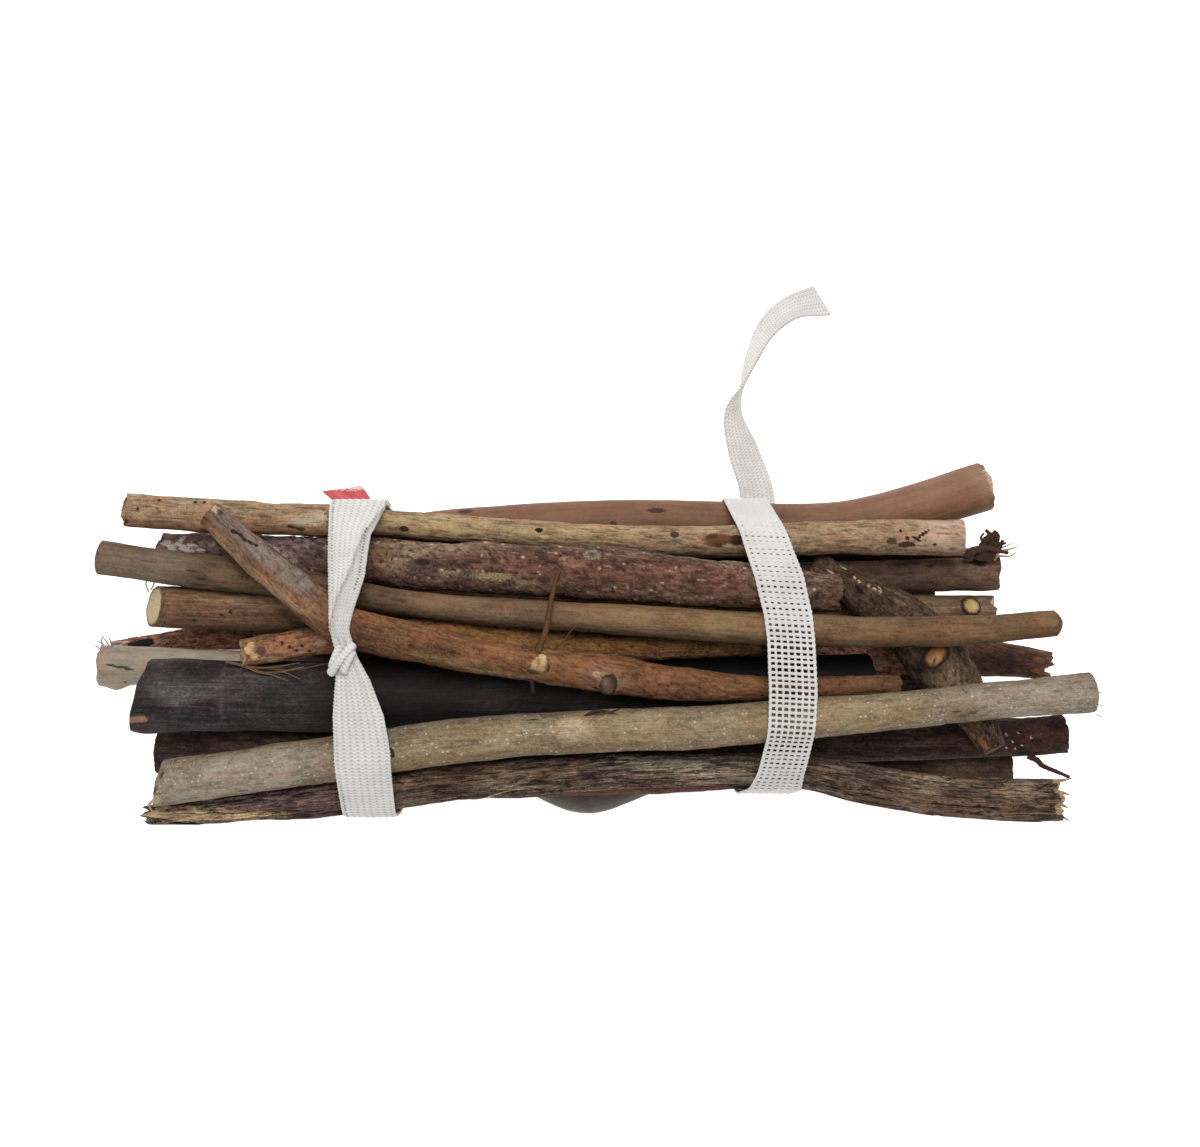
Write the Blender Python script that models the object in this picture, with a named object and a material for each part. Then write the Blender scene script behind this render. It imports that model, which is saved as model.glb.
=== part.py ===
"""A bundle of dry sticks and bark, lying down and held by two white elastic bands.

+X runs along the bundle, +Y to its back and +Z up. Every stick is drawn where it lies, as a few
points in millimetres, then the sticks are worked apart until none of them cut into each other,
and the bands are stretched round what results. The origin is under the middle of the whole.
"""

import math
from collections import namedtuple

import bmesh
import bpy
import numpy as np
from mathutils import Matrix, Vector

MM = 0.001

# Sticks, in millimetres.
STATION = 22.0  # between the rings of a stick
STEP = 4.0  # between the slices in which the sticks are worked apart
REACH = 4  # slices to each side that a slice is compared with
CLEARANCE = 0.75  # between two sticks
ROUNDS = 520  # passes of working apart
LOOSE, HALF, FIRM = 1.0, 3.0, 9.0  # how firmly a stick keeps its place
BARK_WALL = 2.3

# Elastic bands, in millimetres.
ELASTIC = 1.0  # thickness
BAND_GAP = 0.35  # between the elastic and the sticks
FLOOR = ELASTIC + BAND_GAP  # the lowest place of a stick, which the elastic passes under
CORE = (0.0, 33.0)  # y and z of the line that the bands go round
BAND_ACROSS = 3  # rings of points across a band
BAND_STEP = 7.0  # between the points on a straight stretch of a band
BALL_STEPS = np.arange(-8.0, 9.0, 2.0)  # places along a stick that are looked at for the bands
LEANS = np.radians(np.arange(0, 360, 9.0))  # the directions in which an outline is measured
DOWN = 30  # the one that points to the floor

Curl = namedtuple("Curl", "opening half_width")  # the gap of a rolled bark, in degrees
Stick = namedtuple("Stick", "finish hold sides points curl cuts skews wander")


def stick(finish, hold, points, sides=10, curl=None, cuts=(0.1, -0.1), skews=(0.0, 0.0), wander=0.0):
    """A stick through points (x, y, z, radius).

    cuts lean its two end faces, as x per z, and skews turn them aside, as x per y.
    """
    return Stick(finish, hold, sides, points, curl, cuts, skews, wander)


# Degrees go round the bundle from its back (0) over its top (90) to its front (180).
STICKS = {
    "tan_knotty_stick": stick("tan_bark", FIRM, [
        (-156, 40.6, 47, 5.7), (-121, 39.1, 48, 5.5), (-80, 39, 48, 4.8), (-49, 37.6, 46, 4.5),
        (0, 35.6, 46, 4.7), (46, 35.5, 48, 5.4), (81, 37.5, 49, 5.6), (120, 38.2, 49, 6.2)]),
    "smooth_red_stick": stick("smooth_red_bark", FIRM, [
        (-91, 40, 31, 4.6), (-50, 42, 35, 6.6), (0, 43, 37, 7.6), (47, 41.4, 38, 7.6),
        (77, 40, 39, 7.6), (107, 46, 41, 8.0), (129, 52.4, 43, 8.5)], cuts=(0.1, 0.15)),
    "rough_red_stick": stick("rough_red_bark", FIRM, [
        (-147, 38, 38, 6.8), (-98, 34, 42, 7.3), (-58, 29, 51, 8.3), (0, 24, 56, 8.4),
        (45, 19, 55, 7.6), (80, 16, 53, 6.0)]),
    "crooked_orange_stick": stick("orange_bark", FIRM, [
        (-123, 40.5, 59, 3.6), (-103, 22.5, 61, 6.0), (-81, 5, 61, 6.4), (-56, 0, 60.5, 6.2),
        (-41, -4, 59.5, 5.4), (-16, -7.5, 58.5, 5.4), (2, -9.5, 58, 6.0), (16, -12, 57, 5.6),
        (34, -13.5, 55.5, 4.9), (52, -14, 53.5, 3.8), (84, -12.5, 49.5, 3.2),
        (96, -12, 48.5, 3.0)]),
    "short_knotted_stick": stick("knotted_bark", FIRM, [
        (70, 26, 47.5, 4.2), (83, 18, 46.5, 6.4), (94, 11, 45, 8.0), (102.6, 1.5, 43.5, 9.9),
        (111, -10, 43.5, 9.7), (118.4, -23, 44, 6.8), (123.4, -33, 43.5, 4.0),
        (125.2, -38.6, 43, 1.6)]),
    "thin_olive_stick": stick("olive_bark", FIRM, [
        (-163, 29.4, 46.5, 5.7), (-129, 24.6, 48.5, 5.7), (-96, 20.4, 50.5, 5.0),
        (-65, 14, 54.5, 4.2), (-33, 10.7, 57, 4.5), (2, 8.7, 58, 4.9), (52, 6, 58, 5.2),
        (107, 5.5, 58, 4.8), (132, 7.4, 58, 4.4), (143, 8.6, 58, 3.9)]),
    "pale_speckled_stick": stick("pale_bark", FIRM, [
        (-139.5, -41.8, 49, 7.2), (-117, -39, 50, 7.2), (-85, -34.8, 52, 7.2), (-33, -28, 54, 6.9),
        (2, -26.1, 55, 6.6), (34, -25.2, 55, 6.8), (52, -23.6, 56, 6.6), (91, -20.4, 56, 5.9),
        (123, -17.2, 56, 5.9), (155, -14.4, 55, 6.4)], cuts=(0.2, 0.0), skews=(0.3, 0.0)),
    "spotted_orange_stick": stick("spotted_bark", HALF, [
        (-113, -4.6, 53, 4.1), (-86, 1.6, 49.5, 5.1), (-51, 5, 50, 4.6), (-13, 2.5, 50, 4.6),
        (32, 4, 49, 3.4), (55, 6, 47, 2.4)], sides=8),
    "cream_cut_stick": stick("brown_bark", HALF, [
        (-147, 15.5, 39, 6.9), (-82, 14, 38.5, 6.9), (0, 14.5, 36, 6.5), (66, 18, 31, 6.0),
        (134.4, 20.6, 26.5, 5.8)], cuts=(0.7, -0.25)),
    "red_bark_strip": stick("red_flaky_bark", HALF, [
        (-166, 2.2, 24, 2.2), (-150, 4.2, 24.5, 3.2), (-128, 6.0, 26, 4.7), (-67, 5.8, 25.5, 6.2),
        (67, 0, 25, 7.0), (138, -2.6, 25, 5.9), (153, -4.6, 25, 4.4)], curl=Curl(270, 68)),
    "pale_grey_stick": stick("grey_smooth_bark", HALF, [
        (-166, -1.2, 30, 7.3), (-150, -1.2, 29.5, 6.4), (-110, -2.4, 26.5, 6.2), (-60, -7, 22, 6.2),
        (60, -9, 20, 5.8)]),
    "dark_bark_curl": stick("dark_bark", FIRM, [
        (-146.5, -15.2, 44, 11.3), (-96, -15.1, 43, 11.3), (0, -12, 39.5, 11.0), (91, -6, 38, 9.6)],
        curl=Curl(226, 24), cuts=(0.1, 0.0), skews=(0.25, 0.0)),
    "dark_red_stick": stick("dark_red_bark", HALF, [
        (-145.4, -28.5, 30.5, 6.8), (0, -29.3, 32, 6.6), (154, -25.5, 31.5, 6.4)], wander=0.8),
    "fibrous_grey_stick": stick("fibrous_bark", FIRM, [
        (-147, -52.4, 38, 2.4), (-132, -51, 39, 4.2), (-112, -49, 40, 5.5), (-86, -47, 42, 6.0),
        (-57, -43.5, 44, 6.2), (-25, -40.5, 44, 6.1), (6, -38.6, 44, 5.8), (38, -37.8, 44, 5.4), (67, -39, 43, 5.6),
        (86, -43.2, 42, 6.3), (112, -46.4, 40, 6.8), (150, -47.4, 38, 7.0)]),
    "umber_stick": stick("umber_bark", HALF, [
        (-100, -39, 21.5, 5.4), (0, -37.6, 21, 6.8), (48, -35.2, 21, 6.8), (138, -33, 20, 6.8)]),
    "grey_elbow_stick": stick("grey_smooth_bark", HALF, [
        (-104, -31, 8, 4.6), (-40, -33, 8, 5.0), (-20, -39, 8.5, 5.4), (-11, -44.5, 9, 5.8),
        (-2, -45.6, 9, 6.0), (8, -41.5, 8.5, 5.6), (28, -34, 8, 5.0), (100, -30, 9, 4.6)]),
    "brown_bark_curl": stick("brown_curl_bark", HALF, [
        (-14, 27, 35, 6.4), (53, 26.5, 35, 7.0), (135, 26.9, 36, 7.6)], curl=Curl(45, 24)),
    "upper_back_stick": stick("brown_bark", LOOSE, [
        (-132, 24, 22, 5.2), (0, 22, 21, 5.4), (72, 22, 18, 5.0)], sides=8, wander=1.6),
    "back_stick": stick("tan_bark", LOOSE, [
        (-138, 35, 21, 5.2), (0, 36, 22, 5.4), (112, 37, 23, 5.0)], sides=8, wander=1.4),
    "front_inner_stick": stick("olive_bark", LOOSE, [
        (-128, -24, 20, 5.8), (0, -22, 20, 6.0), (122, -18, 19, 5.2)], sides=8, wander=1.6),
    "floor_back_stick": stick("umber_bark", LOOSE, [
        (-126, 30, 9, 6.0), (0, 30, 9, 6.6), (120, 30, 9, 6.6)], sides=8, wander=1.0),
    "floor_middle_stick": stick("pale_bark", LOOSE, [
        (-136, 17, 9, 7.2), (0, 17, 9, 7.0), (126, 16, 9, 6.2)], sides=8, wander=0.8),
    "floor_inner_stick": stick("fibrous_bark", LOOSE, [
        (-122, 2, 9, 7.6), (0, 3, 9, 7.4), (114, 1, 9, 6.8)], sides=8, wander=0.8),
    "floor_front_stick": stick("orange_bark", LOOSE, [
        (-134, -15, 8, 6.6), (0, -13, 8, 6.6), (124, -14, 8, 6.4)], sides=8, wander=0.8),
}

# A knot or a sawn-off shoot: along its stick as x, its direction in degrees, how far it stands
# out of the bark and how wide it is.
KNOTS = {
    "crooked_orange_stick": [(3, 120, 2.0, 7.0), (-19, 95, 1.8, 3.4)],
    "short_knotted_stick": [(104, 70, 1.4, 7.0)],
    "cream_cut_stick": [(121, 100, 0.8, 5.0)],
    "tan_knotty_stick": [(51, 110, 0.6, 6.0)],
}

# The bands: the middle and the width of the elastic at some directions round the bundle.
Band = namedtuple("Band", "degrees middle width")
LEFT_BAND = Band((0, 24, 36, 57, 75, 86, 99, 111, 127, 142, 172, 270),
                 (-78, -78.5, -79.7, -79.1, -79.6, -79.8, -77.5, -75.5, -74, -73, -72.5, -75),
                 (18, 17.8, 13.3, 11.2, 7.6, 5.8, 6.3, 10.7, 15.5, 17.3, 16.5, 18))
RIGHT_BAND = Band((0, 13, 34, 55, 76, 90, 117, 135, 156, 166, 180, 270),
                  (48, 48.7, 52.3, 55.5, 58.3, 59, 59.2, 58.3, 56.4, 55.2, 54.5, 50.5),
                  (13.7, 13.7, 14.4, 15, 14.6, 14.6, 14.8, 14.2, 14.4, 16.5, 17, 16))
Knot = namedtuple("Knot", "degrees x size")  # its size along x, round the bundle, and outwards
TOP_KNOT = Knot(96, -78, (8.5, 11.0, 5.6))
BACK_KNOT = Knot(-32, 49, (11.0, 10.0, 6.5))

# The loose end of the right band, which leaves the knot at the back, lies on the floor and turns
# over once: the places that it passes, and how far it leans over, in degrees from flat.
TAIL_START = 40
TAIL = [(56.5, 60, 9, 40), (52.3, 78, 8, 43), (49.3, 90, 9, 58), (51, 99, 9.4, 86),
        (54.3, 109, 9.2, 101), (58.2, 119, 8.4, 112), (63.8, 127.8, 7, 126), (71.5, 134.2, 6, 138),
        (82.5, 137.8, 5, 152)]
TAIL_WIDTH = 18.0
TAIL_PARTS = 20

# The slip of red card stuck on the back of the left band.
TAG_WIDTH, TAG_SHEET = 13.0, 0.6
TAG_HOLD = 7.0  # the length on the band
TAG_FLAPS = (2.0, 4.0)  # the lengths that stand off it, at the two edges
TAG_SLANT = 3.5  # how far the free edge is set off to one side
TAG_PLACE = (-81.5, 46.5)  # x, and the height of its fold

COLOURS = {  # base colour and roughness of each finish
    "tan_bark": ((0.36, 0.25, 0.15), 0.85),
    "smooth_red_bark": ((0.30, 0.14, 0.08), 0.7),
    "rough_red_bark": ((0.20, 0.11, 0.08), 0.9),
    "orange_bark": ((0.30, 0.16, 0.07), 0.75),
    "knotted_bark": ((0.22, 0.16, 0.10), 0.9),
    "olive_bark": ((0.26, 0.19, 0.11), 0.8),
    "pale_bark": ((0.36, 0.31, 0.22), 0.85),
    "spotted_bark": ((0.35, 0.19, 0.09), 0.8),
    "brown_bark": ((0.24, 0.16, 0.10), 0.85),
    "red_flaky_bark": ((0.19, 0.09, 0.06), 0.9),
    "grey_smooth_bark": ((0.33, 0.30, 0.26), 0.7),
    "dark_bark": ((0.05, 0.04, 0.045), 0.65),
    "dark_red_bark": ((0.12, 0.07, 0.06), 0.85),
    "fibrous_bark": ((0.23, 0.19, 0.15), 0.9),
    "umber_bark": ((0.15, 0.09, 0.06), 0.85),
    "brown_curl_bark": ((0.18, 0.11, 0.08), 0.85),
    "white_elastic": ((0.80, 0.79, 0.76), 0.9),
    "red_card": ((0.62, 0.09, 0.08), 0.5),
}


def smooth(places, values, at):
    """Values of a smooth curve through the given ones: cubics whose slopes match at each."""
    places, values = np.asarray(places, float), np.asarray(values, float)
    slopes = np.gradient(values, places, axis=0)
    part = np.clip(np.searchsorted(places, at) - 1, 0, len(places) - 2)
    span = places[part + 1] - places[part]
    t = ((at - places[part]) / span)[:, None]
    span = span[:, None]
    return (
        (1 + 2 * t) * (1 - t) ** 2 * values[part]
        + t * (1 - t) ** 2 * span * slopes[part]
        + t * t * (3 - 2 * t) * values[part + 1]
        - t * t * (1 - t) * span * slopes[part + 1]
    )


def crook(name, made, x):
    """The small bends of a stick, in y and z: two seeded sine waves in each."""
    chance = np.random.default_rng(sum(map(ord, name)))
    waves = chance.uniform((60, 0), (150, 2 * math.pi), (4, 2))
    bends = np.sin(2 * math.pi * x[:, None] / waves[:, 0] + waves[:, 1])
    return made.wander * (bends[:, :2] + bends[:, 2:]) / 2


def centreline(name, made, x):
    """Rows of y, z and radius of a stick as drawn, at each x."""
    points = np.array(made.points, float)
    found = smooth(points[:, 0], points[:, 1:], x)
    found[:, :2] += crook(name, made, x)
    return found


def work_apart(sticks):
    """How far each stick shifts and tilts, as y and z at its middle and per half length.

    The sticks are cut in slices along x. Where two come too near, both are pushed apart, the
    looser one more. A stick is stiff, so the straight line that fits its pushes best is what
    moves it. A weak pull takes it back to where it was drawn, and ends before the last rounds.
    """
    names = list(sticks)
    low = min(s.points[0][0] for s in sticks.values())
    high = max(s.points[-1][0] for s in sticks.values())
    x = np.arange(low, high + STEP, STEP)
    drawn, radius = np.zeros((len(names), len(x), 2)), np.zeros((len(names), len(x)))
    there, along = np.zeros(radius.shape, bool), np.zeros(radius.shape)
    for i, name in enumerate(names):
        first, last = sticks[name].points[0][0], sticks[name].points[-1][0]
        there[i] = (x >= first) & (x <= last)
        along[i] = (2 * x - first - last) / (last - first)
        found = centreline(name, sticks[name], x[there[i]])
        drawn[i, there[i]], radius[i, there[i]] = found[:, :2], found[:, 2]
    hold = np.array([s.hold for s in sticks.values()])
    share = hold[None, :] / (hold[:, None] + hold[None, :])
    shift, tilt = np.zeros((len(names), 2)), np.zeros((len(names), 2))
    for turn in range(ROUNDS):
        place = drawn + shift[:, None] + tilt[:, None] * along[:, :, None]
        push, count = np.zeros(place.shape), np.zeros(radius.shape)
        for k in range(-REACH, REACH + 1):
            here = slice(max(0, -k), len(x) - max(0, k))
            other = slice(max(0, k), len(x) - max(0, -k))
            apart = place[:, None, here] - place[None, :, other]
            across = np.linalg.norm(apart, axis=3)
            distance = np.hypot(across, k * STEP)
            both = there[:, None, here] & there[None, :, other] & (across > 0.4 * distance)
            near = radius[:, None, here] + radius[None, :, other] + CLEARANCE - distance
            near = np.where(both, np.maximum(near, 0), 0)
            near[np.arange(len(names)), np.arange(len(names))] = 0
            push[:, here] += np.einsum(
                "ijm,ijmk->imk", near * share[:, :, None] / np.maximum(across, 0.1), apart)
            count[:, here] += (near > 0).sum(axis=1)
        push /= np.maximum(count, 1)[:, :, None]
        sunk = np.maximum(FLOOR + radius - place[:, :, 1], 0) * there
        push[:, :, 1] += sunk
        weight = there * ((count > 0) | (sunk > 0))
        total = weight.sum(axis=1) + 0.5
        lean = (weight * along).sum(axis=1)
        spread = (weight * along**2).sum(axis=1) + 0.5
        moved = np.einsum("im,imk->ik", weight, push)
        turned = np.einsum("im,imk->ik", weight * along, push)
        scale = (total * spread - lean**2)[:, None]
        shift += 1.1 * (spread[:, None] * moved - lean[:, None] * turned) / scale
        tilt += 1.1 * (total[:, None] * turned - lean[:, None] * moved) / scale
        if turn < 0.6 * ROUNDS:
            pull = 0.004 * hold[:, None]
            shift -= pull * shift
            tilt -= pull * tilt
    return {name: (shift[i], tilt[i]) for i, name in enumerate(names)}


def laid(name, made, moved, x):
    """Rows of x, y, z and radius of a stick where it lies."""
    first, last = made.points[0][0], made.points[-1][0]
    found = centreline(name, made, x)
    shift, tilt = moved
    found[:, :2] += shift + tilt * ((2 * x - first - last) / (last - first))[:, None]
    return np.column_stack([x, found])


def frames(places):
    """Unit vectors at each place along a line: forwards, to the back, and up."""
    ahead = np.gradient(places, axis=0)
    ahead /= np.linalg.norm(ahead, axis=1)[:, None]
    back = np.cross((0, 0, 1), ahead)
    back /= np.linalg.norm(back, axis=1)[:, None]
    return ahead, back, np.cross(ahead, back)


def faces_between(rings, sides, closed):
    """The quads between each ring of points and the next, with ends if it isn't closed."""
    quads = [
        (r * sides + s, r * sides + (s + 1) % sides,
         (r + 1) % rings * sides + (s + 1) % sides, (r + 1) % rings * sides + s)
        for r in range(rings if closed else rings - 1)
        for s in range(sides)
    ]
    return quads


def solid(name, points, quads, finish):
    """A closed mesh object from points in millimetres, its faces turned outwards."""
    mesh = bpy.data.meshes.new(name)
    mesh.from_pydata([tuple(p) for p in np.asarray(points) * MM], [], quads)
    shape = bmesh.new()
    shape.from_mesh(mesh)
    bmesh.ops.recalc_face_normals(shape, faces=shape.faces)
    bmesh.ops.triangulate(shape, faces=[f for f in shape.faces if len(f.verts) > 3])
    shape.to_mesh(mesh)
    shape.free()
    mesh.shade_smooth()
    mesh.set_sharp_from_angle(angle=math.radians(50))
    mesh.materials.append(material(finish))
    made = bpy.data.objects.new(name, mesh)
    bpy.context.scene.collection.objects.link(made)
    return made


def material(finish):
    """The plain material of a finish, made once."""
    if finish in bpy.data.materials:
        return bpy.data.materials[finish]
    colour, roughness = COLOURS[finish]
    made = bpy.data.materials.new(finish)
    made.use_nodes = True
    shader = made.node_tree.nodes["Principled BSDF"]
    shader.inputs["Base Color"].default_value = (*colour, 1)
    shader.inputs["Roughness"].default_value = roughness
    shader.inputs["Metallic"].default_value = 0.0
    return made


def knots_on(name, x, angles):
    """How far the knots of a stick lift its bark, for each ring and side: round bumps."""
    lift = np.zeros((len(x), len(angles)))
    for at, degrees, height, width in KNOTS.get(name, []):
        turn = np.abs((np.degrees(angles) - degrees + 180) % 360 - 180)
        lift += height * np.exp(-(((x - at) / (width / 2)) ** 2))[:, None] * np.exp(
            -((turn / 38) ** 2))
    return lift


def stations(name, made):
    """The x of each ring of a stick: its stated points, with more between them and at knots."""
    stated = [point[0] for point in made.points]
    x = np.array(stated[:1])
    for start, end in zip(stated, stated[1:]):
        x = np.append(x, np.linspace(start, end, math.ceil((end - start) / STATION) + 1)[1:])
    for at, _, _, width in KNOTS.get(name, []):
        near = [at - width / 2, at, at + width / 2]
        x = [v for v in x if abs(v - at) > width / 2 + 3] + near
    return np.sort(np.array(x, float))


def lean_ends(points, line, made, ahead):
    """Slides the points of the first and last ring along the stick, for its slanting ends."""
    for end, slope, skew in zip((0, -1), made.cuts, made.skews):
        aside, rise = (points[end] - line[end, :3])[:, 1:].T
        points[end] += (slope * rise + skew * aside)[:, None] * ahead[end]


def round_stick(name, made, line):
    """A stick of round section: rings square to its line, and leaning flat ends."""
    angles = 2 * math.pi * np.arange(made.sides) / made.sides
    ahead, back, up = frames(line[:, :3])
    radius = line[:, 3, None] + knots_on(name, line[:, 0], angles)
    out = np.cos(angles)[None, :, None] * back[:, None] + np.sin(angles)[None, :, None] * up[:, None]
    points = line[:, None, :3] + radius[:, :, None] * out
    lean_ends(points, line, made, ahead)
    sides, rings = made.sides, len(line)
    quads = faces_between(rings, sides, closed=False)
    caps = [tuple(range(sides)), tuple(range((rings - 1) * sides, rings * sides))]
    return solid(name, points.reshape(-1, 3), quads + caps, made.finish)


def rolled_bark(name, made, line):
    """A curl of bark: an open ring of even thickness, swept along its line."""
    gap = made.curl
    first, last = gap.opening + gap.half_width, gap.opening + 360 - gap.half_width
    angles = np.radians(np.linspace(first, last, made.sides))
    ahead, back, up = frames(line[:, :3])
    out = np.cos(angles)[None, :, None] * back[:, None] + np.sin(angles)[None, :, None] * up[:, None]
    outer = line[:, None, :3] + line[:, 3, None, None] * out
    inner = line[:, None, :3] + (line[:, 3, None, None] - BARK_WALL) * out
    points = np.concatenate([outer, inner[:, ::-1]], axis=1)
    lean_ends(points, line, made, ahead)
    around, rings = 2 * made.sides, len(line)
    quads = faces_between(rings, around, closed=False)
    caps = [
        (r + s, r + s + 1, r + around - 2 - s, r + around - 1 - s)
        for r in (0, (rings - 1) * around)
        for s in range(made.sides - 1)
    ]
    return solid(name, points.reshape(-1, 3), quads + caps, made.finish)


def outline(lines, x, out):
    """How far a taut loop round the sticks reaches in each direction of LEANS, at one x.

    A stick counts as a row of balls. out is the height of the loop over the sticks. The outer
    face of an elastic, which has a height over the gap, also comes down to the floor.
    """
    reach = np.full(len(LEANS), -np.inf)
    for line in lines:
        near = x + BALL_STEPS
        near = near[(near >= line[0, 0]) & (near <= line[-1, 0])]
        if len(near):
            y, z, r = (np.interp(near, line[:, 0], line[:, k]) for k in (1, 2, 3))
            ball = np.sqrt(np.maximum(r**2 - (near - x) ** 2, 0))
            along = np.outer(np.cos(LEANS), y - CORE[0]) + np.outer(np.sin(LEANS), z - CORE[1])
            reach = np.maximum(reach, (along + ball).max(axis=1))
    reach += out
    if out > BAND_GAP:
        reach[DOWN] = CORE[1]
    return reach


def corners(reach):
    """The corners of the loop that has that reach: where its sides meet, as y and z."""
    after, lean = np.roll(reach, -1), np.roll(LEANS, -1)
    turn = np.sin(LEANS[1] - LEANS[0])
    y = (reach * np.sin(lean) - after * np.sin(LEANS)) / turn
    z = (after * np.cos(LEANS) - reach * np.cos(lean)) / turn
    return np.column_stack([y + CORE[0], z + CORE[1]])


def skin(lines, x, degrees, out):
    """The point of the loop in one direction from the core, as x, y and z."""
    reach, facing = outline(lines, x, out), np.cos(LEANS - math.radians(degrees))
    radius = (reach[facing > 0.05] / facing[facing > 0.05]).min()
    angle = math.radians(degrees)
    return x, CORE[0] + radius * math.cos(angle), CORE[1] + radius * math.sin(angle)


def around(band, degrees):
    """The middle and the width of a band at a direction, read between its stated places."""
    return [np.interp(degrees % 360, band.degrees, v, period=360) for v in (band.middle, band.width)]


def band_loop(name, band, lines):
    """An elastic band round the sticks: a closed strip, flat where it lies on the floor."""
    typical = corners(outline(lines, np.mean(band.middle), ELASTIC))
    rings = []
    for side, end in enumerate(typical):
        start = typical[side - 1]
        pieces = max(1, math.ceil(np.linalg.norm(end - start) / BAND_STEP))
        for part in np.arange(1, pieces + 1) / pieces:
            y, z = start + part * (end - start) - CORE
            middle, width = around(band, math.degrees(math.atan2(z, y)))
            ring = []
            for across, out in [(a, BAND_GAP + ELASTIC) for a in range(BAND_ACROSS)] + [
                    (a, BAND_GAP) for a in reversed(range(BAND_ACROSS))]:
                x = middle + width * (across / (BAND_ACROSS - 1) - 0.5)
                loop = corners(outline(lines, x, out))
                ring.append((x, *(loop[side - 1] + part * (loop[side] - loop[side - 1]))))
            rings.append(ring)
    quads = faces_between(len(rings), 2 * BAND_ACROSS, closed=True)
    return solid(name, np.array(rings).reshape(-1, 3), quads, "white_elastic")


def knot_middle(place, lines):
    """Where the middle of a knot is: half out of the loop of the band, and over the floor."""
    x, y, z = skin(lines, place.x, place.degrees, BAND_GAP + ELASTIC + 0.3 * place.size[2])
    return x, y, max(z, place.size[1] / 2)


def knot(name, place, lines):
    """The lump of a knot in the elastic, on the outside of the band."""
    along, long, high = place.size
    shape = bmesh.new()
    bmesh.ops.create_icosphere(shape, subdivisions=2, radius=0.5)
    size = Matrix.Diagonal((along * MM, high * MM, long * MM, 1))
    turn = Matrix.Rotation(math.radians(place.degrees), 4, "X")
    middle = Matrix.Translation(Vector(knot_middle(place, lines)) * MM)
    bmesh.ops.transform(shape, matrix=middle @ turn @ size, verts=shape.verts)
    mesh = bpy.data.meshes.new(name)
    shape.to_mesh(mesh)
    shape.free()
    made = bpy.data.objects.new(name, mesh)
    bpy.context.scene.collection.objects.link(made)
    return made


def tail(name, start):
    """The loose end of the elastic: a flat strip that leans from side to side as it runs."""
    route = np.array([(*start, TAIL_START)] + TAIL, float)
    t = np.linspace(0, len(route) - 1, TAIL_PARTS)
    route = smooth(np.arange(len(route)), route, t)
    ahead, _, _ = frames(route[:, :3])
    level = np.cross((0, 0, 1), ahead)
    level /= np.linalg.norm(level, axis=1)[:, None]
    lean = np.radians(route[:, 3])[:, None]
    across = np.cos(lean) * level + np.sin(lean) * np.array((0, 0, 1))
    thick = np.cross(ahead, across) * ELASTIC / 2
    half = across * TAIL_WIDTH / 2
    middle = route[:, :3].copy()
    lowest = np.abs(half[:, 2]) + np.abs(thick[:, 2])
    middle[:, 2] = np.where(t < 1, np.maximum(middle[:, 2], lowest), lowest)
    rings = np.stack([middle + half + thick, middle - half + thick,
                      middle - half - thick, middle + half - thick], axis=1)
    quads = faces_between(TAIL_PARTS, 4, closed=False)
    last = (TAIL_PARTS - 1) * 4
    caps = [(0, 1, 2, 3), (last, last + 1, last + 2, last + 3)]
    return solid(name, rings.reshape(-1, 3), quads + caps, "white_elastic")


def join(base, extra):
    """Adds the shape of extra to base and removes extra."""
    union = base.modifiers.new("join", "BOOLEAN")
    union.operation, union.solver, union.object = "UNION", "EXACT", extra
    graph = bpy.context.evaluated_depsgraph_get()
    graph.update()
    mesh = bpy.data.meshes.new_from_object(base.evaluated_get(graph))
    base.modifiers.remove(union)
    base.data = mesh
    bpy.data.objects.remove(extra)


def tag(lines):
    """A slip of card: one leg lies on the band's back and the other stands off it."""
    x, z = TAG_PLACE
    behind = [outline(lines, x + side * TAG_WIDTH / 2, 2 * BAND_GAP + ELASTIC)[0] for side in (-1, 1)]
    y = CORE[0] + max(behind)
    rings = []
    for side, flap in zip((-1, 1), TAG_FLAPS):
        free = z + 0.35 * flap
        edge = x + side * TAG_WIDTH / 2
        aside = edge - TAG_SLANT
        rings.append([
            (edge, y, z - TAG_HOLD), (edge, y, z), (aside, y + flap, free),
            (aside, y + flap, free - TAG_SHEET), (edge, y + TAG_SHEET, z - TAG_SHEET),
            (edge, y + TAG_SHEET, z - TAG_HOLD)])
    quads = faces_between(2, 6, closed=False)
    caps = [(b, b + 1, b + 4, b + 5) for b in (0, 6)] + [(b + 1, b + 2, b + 3, b + 4) for b in (0, 6)]
    return solid("red_tag", np.array(rings).reshape(-1, 3), quads + caps, "red_card")


def centre(made):
    """Moves everything so that the origin is under the middle of the whole, on the floor."""
    corners = np.array([v.co for o in made for v in o.data.vertices])
    low, high = corners.min(axis=0), corners.max(axis=0)
    middle = Vector(((low[0] + high[0]) / 2, (low[1] + high[1]) / 2, low[2]))
    for o in made:
        o.data.transform(Matrix.Translation(-middle))


def main():
    for old in list(bpy.data.objects):
        bpy.data.objects.remove(old)
    moved = work_apart(STICKS)
    made, lines = [], []
    for name, stick_made in STICKS.items():
        line = laid(name, stick_made, moved[name], stations(name, stick_made))
        lines.append(line)
        build = rolled_bark if stick_made.curl else round_stick
        made.append(build(name, stick_made, line))
    left, right = (
        band_loop(name, band, lines)
        for name, band in (("left_band", LEFT_BAND), ("right_band", RIGHT_BAND))
    )
    join(left, knot("top_knot", TOP_KNOT, lines))
    join(right, knot("back_knot", BACK_KNOT, lines))
    join(right, tail("tail", knot_middle(BACK_KNOT, lines)))
    made += [left, right, tag(lines)]
    centre(made)


if __name__ == "__main__":
    main()
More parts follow.
